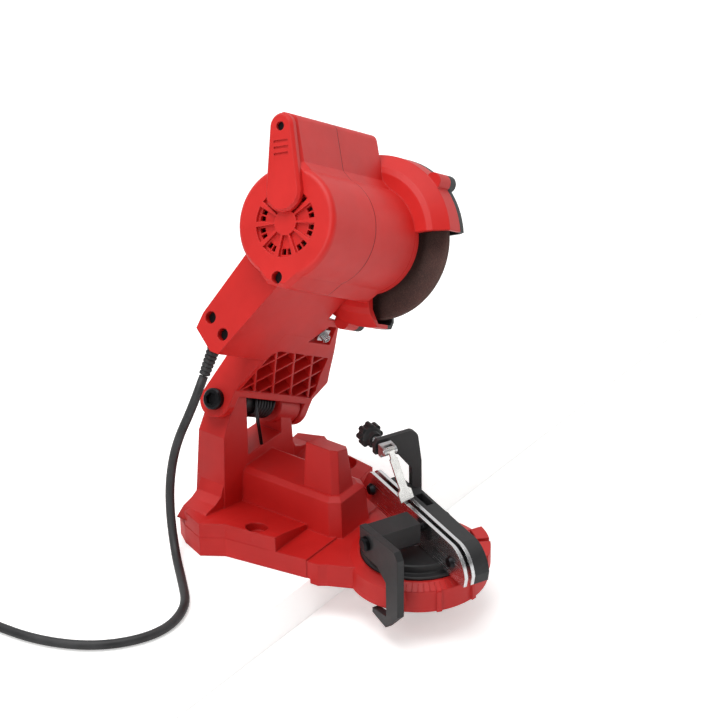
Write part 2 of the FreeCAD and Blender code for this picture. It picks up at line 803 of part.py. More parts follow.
def clamp_bolt():
    """Bolt through the jaw, both rails and the lever; its head sits in the back of the jaw."""
    place = VISE.multiply(frame_on(
        (S.clamp_axis_along.value, 0.0, S.clamp_axis_height.value), (1, 0, 0), (0, -1, 0)))
    body = new_body("clamp_bolt", place)
    radius = S.clamp_bolt_diameter / 2.0
    back = -(S.rail_slot / 2.0 + S.rail_thickness + S.jaw_thickness + 0.1)
    front = S.clamp_plate_inner + S.clamp_plate_thickness + 0.3
    turn(body, [
        (0.0, back - 4.0), (4.2, back - 4.0), (5.0, back - 3.2), (5.0, back), (radius, back), (radius, front),
        (5.2, front), (5.2, front + 2.6), (3.6, front + 3.6), (0.0, front + 3.6),
    ])
    return body


def clamp_lever():
    """Clamp lever: a block round the bolt, then a flat arm that drops past the seat and ends in a fish tail."""
    body = new_body("clamp_lever", VISE)
    inner = S.clamp_plate_inner
    outer = inner + S.clamp_plate_thickness
    along, height = S.clamp_axis_along, S.clamp_axis_height
    hub_face = S.rail_slot / 2.0 + S.rail_thickness + 4.4
    pad(body, [
        (along - 9.0, height - 4.0), (along + 9.0, height - 6.0, 9.9), (along + 9.5, height + 9.0),
        (along - 9.0, height + 9.0),
    ], hub_face, inner + 0.5, "XZ")
    pad(body, [
        (along - 9.5, height - 7.0), (along - 4.0, height - 11.0), (along + 14.0, height - 11.0),
        (along + 25.5, height - 17.5), (along + 25.5, -4.5), (along + 11.0, -6.8), (along + 6.4, -7.8),
        (along + 6.4, -11.6), (along + 24.5, -14.0), (along + 41.0, 3.0), (along + 41.5, height + 8.0),
        (along + 37.0, height + 13.0), (along - 9.5, height + 9.5),
    ], inner, outer, "XZ")
    bore(body, [(S.clamp_axis_along, S.clamp_axis_height)], S.clamp_bolt_diameter / 2.0 + S.running_gap,
         0.0, outer + 1.0, "XZ")
    return body


def stop_bracket():
    """Inverted L of black sheet across the left end of the vise, bolted to the back of the jaw."""
    body = new_body("stop_bracket", VISE)
    along, thick = S.bracket_along, S.bracket_thickness
    back = S.rail_slot / 2.0 + S.rail_thickness + S.jaw_thickness + 0.15
    top = S.bracket_height
    pad(body, [
        (back, S.rail_bottom + 1.0), (back + 8.0, S.rail_bottom + 1.0), (back + 8.0, top - 26.0),
        (back + 5.5, top - 6.0), (back, top, 8.0), (-11.0, top), (-13.5, top - 2.5), (-13.5, top - 10.5),
        (-4.0, top - 11.5), (5.0, top - 16.0), (back, top - 30.0),
    ], along - thick / 2.0, along + thick / 2.0, "YZ")
    # foot against the jaw
    pad(body, box(along - thick / 2.0, along + 20.0, back, back + 3.0), S.rail_bottom + 2.0,
        S.rail_bottom + 18.0)
    bore(body, [(along + 8.0, S.rail_bottom + 10.0), (along + 15.0, S.rail_bottom + 10.0)], 2.05,
         -back - 4.0, -back + 1.0, "XZ")
    bore(body, [(S.adjuster_across, S.adjuster_height)], S.adjuster_diameter / 2.0 + S.running_gap,
         along - thick, along + thick, "YZ")
    return body


def bracket_screws():
    body = new_body("bracket_screws", VISE)
    back = S.rail_slot / 2.0 + S.rail_thickness + S.jaw_thickness + 0.15
    for step in (8.0, 15.0):
        sketch = new_sketch(body, "XZ", -back - 3.0)
        draw_circle(sketch, S.bracket_along + step, S.rail_bottom + 10.0, 2.0)
        extrude("Pad", body, sketch, 2.95)
        head = new_sketch(body, "XZ", -back - 5.55)
        draw_circle(head, S.bracket_along + step, S.rail_bottom + 10.0, 3.4)
        extrude("Pad", body, head, 2.55)
    return body


def adjuster_place():
    """Axis of the stop adjuster: local z points from the knob to the finger."""
    return VISE.multiply(frame_on(
        (S.bracket_along.value, S.adjuster_across.value, S.adjuster_height.value), (0, 1, 0), (1, 0, 0)))


def adjusting_screw():
    body = new_body("adjusting_screw", adjuster_place())
    radius = S.adjuster_diameter / 2.0
    turn(body, [
        (0.0, -20.0), (radius, -20.0), (radius, -4.6), (4.4, -4.6), (4.4, -2.2), (radius, -2.2),
        (radius, 7.4), (radius - 0.7, 8.0), (0.0, 8.0),
    ])
    return body


def star_knob():
    """Eight-lobed knob on the adjusting screw."""
    body = new_body("star_knob", adjuster_place())
    radius = S.star_knob_diameter / 2.0
    bore_radius = S.adjuster_diameter / 2.0 + 0.02
    turn(body, [
        (bore_radius, -20.5), (radius - 2.6, -20.5), (radius - 1.6, -19.6), (radius - 1.6, -13.6),
        (radius - 2.4, -12.8), (5.0, -12.0), (4.6, -8.2), (bore_radius, -8.2),
    ])
    lobe = disc(body, radius - 2.0, 0.0, 2.0, -19.8, -13.4)
    repeat(body, [lobe], 8)
    disc(body, 0.0, 0.0, radius - 4.0, -21.5, -20.4)
    return body


FINGER_AHEAD = 11.0
FINGER_PIN_RADIUS = 1.3
KNUCKLE_RADIUS = 2.7


def finger_carrier():
    """Threaded block that the adjusting screw moves along the rails, with two ears for the finger's pin."""
    body = new_body("finger_carrier", VISE)
    along, across, height = S.bracket_along, S.adjuster_across, S.adjuster_height
    ear_in = S.finger_width_top / 2.0 + 0.15
    ear_out = ear_in + 1.8
    pad(body, box(along + 4.2, along + 7.8, height - 4.6, height + 4.4), -across - ear_out, -across + ear_out,
        "XZ")
    for start in (-across - ear_out, -across + ear_in):
        pad(body, [
            (along + 7.0, height - 2.4), (along + FINGER_AHEAD, height - KNUCKLE_RADIUS + 1.0),
            (along + FINGER_AHEAD + KNUCKLE_RADIUS, height + 1.0, KNUCKLE_RADIUS),
            (along + FINGER_AHEAD, height + 1.0 + KNUCKLE_RADIUS, KNUCKLE_RADIUS), (along + 7.0, height + 4.4),
        ], start, start + 1.8, "XZ")
    bore(body, [(across, height)], S.adjuster_diameter / 2.0 + S.running_gap, along + 2.0, along + 8.0, "YZ")
    bore(body, [(along + FINGER_AHEAD, height + 1.0)], FINGER_PIN_RADIUS + 0.02, -across - ear_out - 1.0,
         -across + ear_out + 1.0, "XZ")
    return body


def finger_pin():
    body = new_body("finger_pin", VISE)
    reach = S.finger_width_top / 2.0 + 2.4
    disc(body, S.bracket_along + FINGER_AHEAD, S.adjuster_height + 1.0, FINGER_PIN_RADIUS,
         -S.adjuster_across - reach, -S.adjuster_across + reach, "XZ")
    return body


def stop_finger():
    """Bright strip that hangs from a rolled knuckle down to the chain and widens towards its tip."""
    run, side, fall = 11.0, 6.0, 35.0
    length = math.sqrt(run * run + side * side + fall * fall)
    top = Vector(S.bracket_along.value + FINGER_AHEAD, S.adjuster_across.value, S.adjuster_height.value + 1.0)
    body = new_body("stop_finger", VISE.multiply(Placement(top, Rotation())))
    half_top, half_tip = S.finger_width_top / 2.0, S.finger_width_tip / 2.0
    disc(body, 0.0, 0.0, KNUCKLE_RADIUS, -half_top, half_top, "XZ")
    strip = frame_on((1.6, 0.0, 0.6), (run, side, -fall), (fall, 0.0, run))
    on_frame(body, strip, [[
        (-0.6, 1.0 - half_top), (4.6, 1.0 - half_top), (5.6, -half_top), (length - 9.0, -half_top),
        (length - 7.0, -half_tip), (length, -half_tip), (length, half_tip), (length - 7.0, half_tip),
        (length - 9.0, half_top), (5.6, half_top), (4.6, half_top - 1.0), (-0.6, half_top - 1.0),
    ]], 1.6)
    bore(body, [(0.0, 0.0)], FINGER_PIN_RADIUS + S.running_gap, -half_top - 1.0, half_top + 1.0, "XZ")
    return body


# ------------------------------------------------------------------------------------------------ motor and spindle

GUARD_RADIUS = S.wheel_diameter / 2.0 + S.guard_gap
GUARD_PLATEAU = GUARD_RADIUS - S.guard_slope_width
GUARD_SCREW_RADIUS = GUARD_RADIUS + S.guard_screw_beyond
GLUE_LINE = 0.05
CAN_RADIUS = S.barrel_radius - S.barrel_wall - S.can_gap
MAGNET_INNER = CAN_RADIUS - S.can_wall - GLUE_LINE - S.magnet_thickness
CORE_RADIUS = MAGNET_INNER - S.core_gap
BRUSH_LEVEL = 102.5


def bearing_part(label, start):
    """Sealed ball bearing: rings, balls and shields as one closed ring."""
    body = new_body(label, HEAD)
    inner, outer = S.shaft_diameter / 2.0 + 0.02, S.bearing_diameter / 2.0
    end = start + S.bearing_width
    turn(body, [(inner, start), (outer, start), (outer, end), (inner, end)])
    return body


def spindle_shaft():
    body = new_body("spindle_shaft", HEAD)
    radius = S.shaft_diameter / 2.0
    turn(body, [
        (0.0, -10.9), (radius - 0.8, -10.9), (radius, -10.1), (radius, 116.6), (radius - 0.6, 117.2), (0.0, 117.2),
    ])
    return body


def armature_core():
    """Laminated core with its end windings."""
    body = new_body("armature_core", HEAD)
    inner = S.shaft_diameter / 2.0 + 0.02
    core = CORE_RADIUS
    turn(body, [
        (inner, 44.0), (13.0, 44.0), (21.0, 50.0), (core, 50.0), (core, 88.0), (21.0, 88.0), (13.0, 95.0),
        (inner, 95.0),
    ])
    return body


def commutator():
    body = new_body("commutator", HEAD)
    inner = S.shaft_diameter / 2.0 + 0.02
    turn(body, [(inner, 96.0), (11.5, 96.0), (11.5, 98.0), (10.0, 98.0), (10.0, 107.0), (inner, 107.0)])
    return body


def motor_can():
    body = new_body("motor_can", HEAD)
    outer = CAN_RADIUS
    turn(body, [(outer - S.can_wall, 45.0), (outer, 45.0), (outer, 94.0), (outer - S.can_wall, 94.0)])
    return body


def field_magnets():
    """Two magnet shells glued inside the can."""
    body = new_body("field_magnets", HEAD)
    outer = CAN_RADIUS - S.can_wall - GLUE_LINE
    for middle in (0.0, 180.0):
        pad(body, sector(MAGNET_INNER, outer, middle - 65.0, middle + 65.0), 49.0, 90.0)
    return body


def brush_pieces(label, inner, outer, half_wide, half_deep, hollow):
    body = new_body(label, HEAD)
    for side in (1.0, -1.0):
        ends = (inner, outer) if side > 0 else (-outer, -inner)
        pad(body, box(ends[0], ends[1], -half_wide, half_wide), BRUSH_LEVEL - half_deep, BRUSH_LEVEL + half_deep)
    if hollow:
        for side in (1.0, -1.0):
            ends = (inner - 1.0, outer - 1.5) if side > 0 else (1.5 - outer, 1.0 - inner)
            cut(body, box(ends[0], ends[1], -hollow, hollow), BRUSH_LEVEL - half_deep + 1.0,
                BRUSH_LEVEL + half_deep - 1.0)
    return body


def cooling_fan():
    """Radial fan between the core and the front bearing."""
    body = new_body("cooling_fan", HEAD)
    inner = S.shaft_diameter / 2.0 + 0.02
    turn(body, [(inner, 30.0), (30.0, 30.0), (30.0, 31.6), (8.0, 31.6), (8.0, 39.0), (inner, 39.0)])
    blade = pad(body, box(7.0, 29.4, -0.8, 0.8), 31.0, 38.0)
    repeat(body, [blade], 9)
    return body


def grinding_wheel():
    """Thin vitrified wheel with its rim dressed to a shallow vee."""
    body = new_body("grinding_wheel", HEAD)
    half = S.wheel_thickness / 2.0
    rim = S.wheel_diameter / 2.0
    hole = S.wheel_bore / 2.0
    turn(body, [(hole, -half), (rim - 1.2, -half), (rim, -0.5), (rim, 0.5), (rim - 1.2, half), (hole, half)])
    return body


def wheel_flange_inner():
    body = new_body("wheel_flange_inner", HEAD)
    half = S.wheel_thickness / 2.0
    inner, rim = S.shaft_diameter / 2.0 + 0.02, S.flange_diameter / 2.0
    turn(body, [
        (inner, -half + 0.2), (S.wheel_bore / 2.0 - 0.05, -half + 0.2), (S.wheel_bore / 2.0 - 0.05, half + 0.02),
        (rim, half + 0.02), (rim, half + 2.4), (12.0, half + 4.4), (inner, half + 4.4),
    ])
    return body


def wheel_flange_outer():
    body = new_body("wheel_flange_outer", HEAD)
    half = S.wheel_thickness / 2.0
    inner, rim = S.shaft_diameter / 2.0 + 0.02, S.flange_diameter / 2.0
    turn(body, [
        (inner, -half - 0.02), (inner, -half - 3.6), (12.0, -half - 3.6), (rim, -half - 2.2), (rim, -half - 0.02),
    ])
    return body


def spindle_nut():
    body = new_body("spindle_nut", HEAD)
    top = -S.wheel_thickness / 2.0 - 3.65
    pad(body, hexagon(13.0), top - 5.0, top)
    bore(body, [(0.0, 0.0)], S.shaft_diameter / 2.0 + 0.02, top - 7.0, top + 1.0)
    return body


# ------------------------------------------------------------------------------------------------------- housings

def handle_outline():
    """Cross-section of the handle that leans back over the motor."""
    return [
        (14.0, 33.0), (-1.0, 41.7), (-14.6, 66.4), (-19.5, 69.4, 6.0), (-26.5, 69.2), (-30.2, 65.0, 5.0),
        (-31.6, 54.0), (-26.0, 25.0),
    ]


def chin_outline():
    """The corner under the motor where the housing meets the arm."""
    return [(24.5, -27.5), (0.0, -18.0), (-13.9, -30.0), (-13.9, -34.9), (-3.0, -42.0), (9.5, -41.8), (15.0, -39.8, 6.0)]


def bevelled(body, outline, start, end, bevel):
    """A prism whose far end is bevelled all round."""
    pad(body, outline, start, end - bevel)
    sketch = new_sketch(body, "XY", end - bevel)
    draw(sketch, outline)
    crown = extrude("Pad", body, sketch, bevel)
    crown.TaperAngle = -38.0


def motor_housing_left():
    """Vent-end shell: barrel, handle half, bearing seat and the ribbed air inlet."""
    body = new_body("motor_housing_left", HEAD)
    seam, end = S.seam_position, S.vent_end
    bend = S.cap_rounding
    turn(body, [
        (0.0, seam), (S.barrel_radius, seam), (S.barrel_radius, end - bend), (S.barrel_radius - bend, end, bend),
        (0.0, end),
    ])
    bevelled(body, handle_outline(), seam, end, bend)
    bevelled(body, chin_outline(), seam, end, bend)
    inner = S.barrel_radius - S.barrel_wall
    bore(body, [(0.0, 0.0)], inner, seam - 1.0, end - 5.2)
    seat = S.bearing_diameter / 2.0
    disc(body, 0.0, 0.0, seat + 3.4, end - 5.2 - S.bearing_width, end - 4.6, bore=seat + 0.02)
    # air inlet: sunk cells between radial ribs, and a pair of short slots in each
    ribs = S.vent_ribs
    step = 360.0 / ribs
    edge = 4.6
    cell = cut(body, sector(S.vent_hub_radius, S.vent_radius, -step / 2.0 + edge, step / 2.0 - edge),
               end - S.vent_depth, end + 1.0)
    slots = new_sketch(body, "XY", end - 6.5)
    draw(slots, sector(S.vent_radius - 5.6, S.vent_radius - 1.6, -step / 2.0 + edge + 2.4, -1.6))
    draw(slots, sector(S.vent_radius - 5.6, S.vent_radius - 1.6, 1.6, step / 2.0 - edge - 2.4))
    through = extrude("Pocket", body, slots, 6.0)
    repeat(body, [cell, through], ribs)
    bore(body, [(5.2, -36.0)], 4.1, end - 7.0, end + 1.0)
    return body


def motor_housing_right():
    """Wheel-end shell: barrel and handle half with the back of the wheel guard in one piece."""
    body = new_body("motor_housing_right", HEAD)
    seam = S.seam_position - S.seat_gap
    back, edge, front = S.guard_back, S.guard_back_edge, S.guard_front_edge
    rim, plateau = GUARD_RADIUS, GUARD_PLATEAU
    wall = S.guard_wall
    turn(body, [
        (S.bearing_diameter / 2.0 - 3.0, back - 5.0), (plateau - 3.0, back - 5.0), (rim - wall, edge - 1.6),
        (rim - wall, -front), (rim, -front), (rim, edge), (plateau, back - 1.4), (plateau - 4.0, back),
        (S.bearing_diameter / 2.0 - 3.0, back),
    ])
    opening(body, S.barrel_radius + 0.2, -front - 2.0, back + 1.0)
    disc(body, 0.0, 0.0, S.barrel_radius, back - 4.0, seam)
    pad(body, handle_outline(), back - 1.0, seam)
    pad(body, chin_outline(), back, seam)
    inner = S.barrel_radius - S.barrel_wall
    bore(body, [(0.0, 0.0)], inner, back + S.bearing_width + 0.4, seam + 1.0)
    bore(body, [(0.0, 0.0)], S.bearing_diameter / 2.0 + 0.02, back, back + S.bearing_width + 1.0)
    bore(body, [(0.0, 0.0)], S.shaft_diameter / 2.0 + 2.0, back - 6.0, back + 1.0)
    for angle in GUARD_SCREWS:
        disc(body, *polar(GUARD_SCREW_RADIUS, angle), 6.0, -front + 0.0, edge)
    trim = new_sketch(body, "XY", -front - 1.0)
    draw_circle(trim, 0.0, 0.0, S.wheel_diameter / 2.0 + 3.0)
    extrude("Pocket", body, trim, front + 1.0 + edge - 1.6)
    bore(body, [polar(GUARD_SCREW_RADIUS, angle) for angle in GUARD_SCREWS], 1.9, -front - 1.0, edge - 2.0)
    return body


GUARD_SCREWS = (58.0, 160.0, 262.0)


def opening(body, inner, start, end):
    """Cuts the sector of the guard where the wheel stands free."""
    cut(body, sector(inner, 72.0, S.guard_open_from, S.guard_open_to), start, end)


def guard_cover():
    """Dark outer cover of the wheel, screwed to the guard."""
    body = new_body("guard_cover", HEAD)
    top, bottom = -S.guard_front_edge - S.seat_gap, -S.cover_depth
    rim, wall = GUARD_RADIUS, S.guard_wall
    turn(body, [
        (0.0, bottom), (rim - 5.0, bottom), (rim, bottom + 4.0), (rim, top), (rim - wall, top),
        (rim - wall, bottom + 5.0), (rim - 7.0, bottom + wall), (0.0, bottom + wall),
    ])
    opening(body, 26.0, bottom - 1.0, top + 1.0)
    for angle in GUARD_SCREWS:
        disc(body, *polar(GUARD_SCREW_RADIUS, angle), 6.0, bottom + 1.5, top)
    trim = new_sketch(body, "XY", bottom + wall)
    draw_circle(trim, 0.0, 0.0, S.wheel_diameter / 2.0 + 1.2)
    extrude("Pocket", body, trim, 20.0)
    bore(body, [polar(GUARD_SCREW_RADIUS, angle) for angle in GUARD_SCREWS], 2.1, bottom - 1.0, top + 1.0)
    return body


def guard_screws():
    body = new_body("guard_screws", HEAD)
    bottom = -S.cover_depth
    for angle in GUARD_SCREWS:
        spot = polar(GUARD_SCREW_RADIUS, angle)
        disc(body, *spot, 1.85, bottom + 1.0, 4.0)
        disc(body, *spot, 3.4, bottom - 1.2, bottom + 1.45)
    return body


def handle_cover():
    """Raised cover on the end of the handle, with its screw hole and finger grooves."""
    body = new_body("handle_cover", HEAD)
    start = S.vent_end + 0.05
    end = start + S.handle_cover_thickness
    low, high = (-5.5, 19.0), (-20.5, 59.7)
    lean = math.degrees(math.atan2(high[1] - low[1], high[0] - low[0]))
    span = math.hypot(high[0] - low[0], high[1] - low[1])
    low_radius, high_radius = 13.5, 9.0
    spread = math.degrees(math.acos((low_radius - high_radius) / span))

    sketch = new_sketch(body, "XY", start)
    draw(sketch, close_ring(low, high, low_radius, high_radius, lean, spread))
    extrude("Pad", body, sketch, S.handle_cover_thickness - 2.0)
    top = new_sketch(body, "XY", end - 2.0)
    draw(top, close_ring(low, high, low_radius, high_radius, lean, spread))
    crown = extrude("Pad", body, top, 2.0)
    crown.TaperAngle = -40.0
    bore(body, [high], 3.0, start - 1.0, end + 1.0)
    middle = Vector(0.5 * (low[0] + high[0]) - 2.5, 0.5 * (low[1] + high[1]) + 7.0, 0)
    across = Vector(math.cos(math.radians(lean - 90)), math.sin(math.radians(lean - 90)), 0)
    along = Vector(math.cos(math.radians(lean)), math.sin(math.radians(lean)), 0)
    groove = new_sketch(body, "XY", end - 1.0)
    for step in (-4.2, 0.0, 4.2):
        spot = middle + along * step
        corners = [spot + across * u + along * v for u, v in ((-5.5, -0.8), (5.5, -0.8), (5.5, 0.8), (-5.5, 0.8))]
        draw(groove, [(corner.x, corner.y) for corner in corners])
    extrude("Pocket", body, groove, 3.0)
    return body


def close_ring(low, high, low_radius, high_radius, lean, spread):
    """Two rounds of different radius joined by their common tangents."""
    return [
        polar(high_radius, lean - spread, high),
        polar(high_radius, lean, high) + (high_radius,),
        polar(high_radius, lean + spread, high) + (high_radius,),
        polar(low_radius, lean + spread, low),
        polar(low_radius, lean + 180.0, low) + (low_radius,),
        polar(low_radius, lean - spread, low) + (low_radius,),
    ]


# -------------------------------------------------------------------------------------------------- arm and yoke

SLOPE_DIRECTION = (math.cos(math.radians(S.arm_slope.value)), math.sin(math.radians(S.arm_slope.value)), 0.0)
SLOPE_NORMAL = (math.sin(math.radians(S.arm_slope.value)), -math.cos(math.radians(S.arm_slope.value)), 0.0)
SLOPE_START = (-55.6, -135.1)


def slope_frame(depth=0.0):
    """Frame on the sloping front of the arm: x to the right along the shaft, y up the slope, z out of the face."""
    origin = [SLOPE_START[k] + SLOPE_NORMAL[k] * depth for k in range(2)]
    return frame_on((origin[0], origin[1], 0.0), (0, 0, -1), SLOPE_NORMAL)


LATTICE_OUTLINE = [
    (-47.5, 12.5), (43.0, 12.5), (41.5, 20.0), (30.0, 35.0), (21.0, 51.5), (-40.0, 51.5), (-47.5, 44.0, 8.0),
]


def arm_yoke():
    """Arm box under the motor and the forked yoke below it, with a diamond lattice sunk into its sloping front."""
    arm = new_body("arm_shell", HEAD)
    saddle = S.barrel_radius + S.seat_gap
    end = S.arm_end
    pad(arm, [
        (-3.7, -44.2), (-3.2, -42.2), polar(saddle, -112.2), polar(saddle, REAR_FACE_FROM) + (-saddle,),
        REAR_FACE_FOOT, (-57.3, -86.4), (-41.4, -98.3), (-34.6, -98.6),
    ], -30.0, end)
    pivot_x, pivot_y = HINGE_IN_HEAD
    radius = S.leg_end_radius
    pad(arm, [
        (-22.0, -76.6), (-49.8, -125.0), (pivot_x + radius, pivot_y + 0.0), (pivot_x, pivot_y - radius, -radius),
        (pivot_x - radius, pivot_y, -radius), (-61.0, -95.0), (-50.0, -76.6),
    ], -S.yoke_right, S.yoke_left)
    # flared right edge of the front, clear of the guard above it
    cut(arm, [
        (-15.0, 19.2), (-60.8, 19.2), (-60.8, 2.0), (-64.0, 1.0), (-85.0, -21.6), (-102.0, -38.5),
        (-110.0, -S.yoke_right), (-110.0, -62.0), (-15.0, -62.0),
    ], -90.0, 40.0, "YZ")
    # fork: room for the ears and the spring between the legs
    leg = S.leg_thickness
    clear = S.ear_lug_radius + 1.6
    left_inner, right_inner = S.yoke_left - leg, -S.yoke_right + leg
    cut(arm, [
        (pivot_x - 40.0, pivot_y - 30.0), (pivot_x + 40.0, pivot_y - 30.0), (pivot_x + 40.0, pivot_y + 6.0),
        (pivot_x + clear * 0.897, pivot_y + 6.0), (pivot_x, pivot_y + clear, clear),
        (pivot_x - clear * 0.897, pivot_y + 6.0, clear), (pivot_x - 40.0, pivot_y + 6.0),
    ], right_inner, left_inner)
    bore(arm, [HINGE_IN_HEAD], S.hinge_bolt_diameter / 2.0 + S.running_gap, -S.yoke_right - 1.0,
         S.yoke_left + 1.0)
    on_frame(arm, slope_frame(-S.lattice_depth.value), [LATTICE_OUTLINE], S.lattice_depth + 2.0, "Pocket")
    # window that shows the depth screw, and the screw's bore
    on_frame(arm, slope_frame(-18.0), [[(-19.0, 63.4), (8.5, 63.4), (-1.6, 79.6), (-10.0, 79.6)]], 30.0,
             "Pocket")
    side = S.depth_screw_side
    on_frame(arm, slope_frame(-29.0), [(-side, 70.7, S.depth_screw_diameter / 2.0 + 0.02, "circle")], 40.0,
             "Pocket")
    # cored wiring space that opens under the motor
    on_frame(arm, CORE_FRAME, [box(-8.0, 8.0, 66.0, 94.0)], CORE_DEPTH, "Pocket")
    # side screws, cord outlet and switch opening
    bore(arm, SIDE_SCREWS, S.screw_recess_diameter / 2.0, end - 7.0, end + 1.0)
    on_frame(arm, BOOT_FRAME.multiply(Placement(Vector(0, 0, -6.2), Rotation())),
             [(0.0, 0.0, S.boot_diameter / 2.0 + 0.1, "circle")], 20.0, "Pocket")
    on_frame(arm, switch_frame(-15.0), [box(-6.55, 6.55, -9.55, 9.55)], 20.0, "Pocket")
    return fuse_lattice(arm)


REAR_FACE_FROM = -145.0
REAR_FACE_FOOT = (-55.0, -75.0)
SWITCH_DOWN_FACE = 0.48863
SWITCH_PROUD = 0.386
SWITCH_LEVEL = 80.0
BOOT_FRAME = frame_on((-48.5, -94.0, 92.0), (0, 0, 1), (-0.10, -1.0, 0.0))
SIDE_SCREWS = [(-48.2, -76.7), (-35.1, -84.9)]
CORE_FRAME = frame_on((-16.0, -35.0, 0.0), (0.912, -0.41, 0), (-0.41, -0.912, 0))
CORE_DEPTH = 44.0


def switch_frame(depth=0.0):
    """Frame on the rear face of the arm, z out of it, its origin a share of the way down that face."""
    out = Vector(-0.905, 0.425, 0)
    top_x, top_y = polar(S.barrel_radius + S.seat_gap, REAR_FACE_FROM)
    top = Vector(top_x.value, top_y.value, SWITCH_LEVEL)
    foot = Vector(*REAR_FACE_FOOT, SWITCH_LEVEL)
    origin = top + (foot - top) * SWITCH_DOWN_FACE + out * (SWITCH_PROUD + depth)
    return frame_on((origin.x, origin.y, origin.z), (0, 0, 1), (out.x, out.y, out.z))


def fuse_lattice(arm):
    """Diamond ribs: two crossed rows of strips, trimmed to the recess and joined to the arm."""
    trimmed = []
    pitch = S.lattice_pitch
    half = S.lattice_rib / 2.0
    for name, lean in (("lattice_rising", 45.0), ("lattice_falling", -45.0)):
        strips = new_body(name, HEAD)
        place = slope_frame(-S.lattice_depth.value - 1.0).multiply(
            Placement(Vector(-2.0, 32.0, 0), Rotation(Vector(0, 0, 1), lean)))
        sketch = new_sketch(strips, "XY", 0.0, place)
        spacing = pitch / math.sqrt(2.0)
        for row in range(-3, 4):
            draw(sketch, box(-75.0, 75.0, spacing * row - half, spacing * row + half))
        extrude("Pad", strips, sketch, S.lattice_depth + 0.4)
        trimmed.append(strips)
    rim = new_body("lattice_room", HEAD)
    grown = [(-49.5, 11.0), (44.5, 11.0), (43.0, 20.6), (31.4, 36.0), (22.2, 53.0), (-41.0, 53.0), (-49.5, 45.0)]
    on_frame(rim, slope_frame(-S.lattice_depth.value - 1.0), [grown], S.lattice_depth + 0.4)
    crossed = doc.addObject("Part::Fuse", "lattice_crossed")
    crossed.Base, crossed.Tool = trimmed
    inside = doc.addObject("Part::Common", "lattice_inside")
    inside.Base, inside.Tool = crossed, rim
    whole = doc.addObject("Part::Fuse", "arm_yoke")
    whole.Label = "arm_yoke"
    whole.Base, whole.Tool = arm, inside
    whole.Refine = True
    return whole


def depth_frame():
    side = S.depth_screw_side.value
    place = slope_frame().multiply(Placement(Vector(-side, 70.7, 0), Rotation()))
    return HEAD.multiply(place)


def depth_screw():
    """Depth stop: a socket screw through the arm whose end meets the tower."""
    body = new_body("depth_screw", depth_frame())
    radius = S.depth_screw_diameter / 2.0
    turn(body, [(0.0, -28.5), (radius, -28.5), (radius, 3.4), (radius - 1.0, 4.4), (0.0, 4.4)])
    cut(body, hexagon(3.0), 1.6, 5.0)
    return body


def depth_nut():
    body = new_body("depth_nut", depth_frame())
    pad(body, hexagon(10.0), -5.4, -0.4)
    bore(body, [(0.0, 0.0)], S.depth_screw_diameter / 2.0 + 0.02, -7.0, 1.0)
    return body


def housing_screws():
    """Screws down in their round recesses: two in the arm's side, one in the cap, one in the handle cover."""
    body = new_body("housing_screws", HEAD)
    for across, up in SIDE_SCREWS:
        disc(body, across, up, 3.6, S.arm_end - 6.9, S.arm_end - 4.0)
    disc(body, 5.2, -36.0, 3.6, S.vent_end - 6.9, S.vent_end - 4.4)
    disc(body, -20.5, 59.7, 2.9, S.vent_end + 0.1, S.vent_end + 3.0)
    return body


def switch_body():
    body = new_body("switch_body", HEAD.multiply(switch_frame()))
    pad(body, box(-6.5, 6.5, -9.5, 9.5), -13.0, 0.05)
    pad(body, box(-7.6, 7.6, -10.6, 10.6), 0.05, 1.6)
    cut(body, box(-5.2, 5.2, -7.4, 7.4), -6.0, 2.0)
    return body


def switch_rocker():
    body = new_body("switch_rocker", HEAD.multiply(switch_frame()))
    pad(body, [(-6.7, -1.2), (0.0, -4.6), (6.7, -1.2), (6.9, 4.4), (0.0, 2.6, 20.0), (-6.9, 1.9, 20.0)],
        -5.0, 5.0, "YZ")
    return body


def cable_clamp():
    body = new_body("cable_clamp", HEAD.multiply(CORE_FRAME))
    pad(body, box(-7.0, 7.0, 79.0, 93.0), CORE_DEPTH - 9.0, CORE_DEPTH - 0.2)
    return body


# ------------------------------------------------------------------------------------------------- mains lead

def boot_place():
    return HEAD.multiply(BOOT_FRAME)


def strain_relief():
    """Ribbed rubber boot, tapering to the cord."""
    body = new_body("strain_relief", boot_place())
    outline = [(0.0, -6.0), (S.boot_diameter / 2.0, -6.0)]
    rings = 8
    for ring in range(rings):
        radius = S.boot_diameter / 2.0 - 0.12 * ring
        level = 0.4 + 2.9 * ring
        outline += [(radius, level), (radius, level + 1.6), (radius - 0.8, level + 2.0)]
    outline += [(0.0, BOOT_LENGTH)]
    turn(body, outline)
    return body


BOOT_LENGTH = 0.4 + 2.9 * 8
CORD_ROUTE = [
    tuple(boot_place().multVec(Vector(0, 0, BOOT_LENGTH + 0.1))),
    tuple(boot_place().multVec(Vector(0, 0, BOOT_LENGTH + 24.0))),
    (-73.0, 51.0, 86.0), (-72.0, 59.5, 55.0), (-73.5, 60.0, 27.0), (-86.0, 46.0, 3.4),
    (-108.0, 22.5, 3.4),
    (-132.0, -2.0, 3.4), (-166.0, -8.0, 3.4), (-200.0, 14.0, 3.4), (-219.0, 52.0, 3.4), (-224.5, 96.0, 3.4),
    (-224.0, 138.0, 3.4),
]
COIL_CENTRE = (-262.0, 140.0)


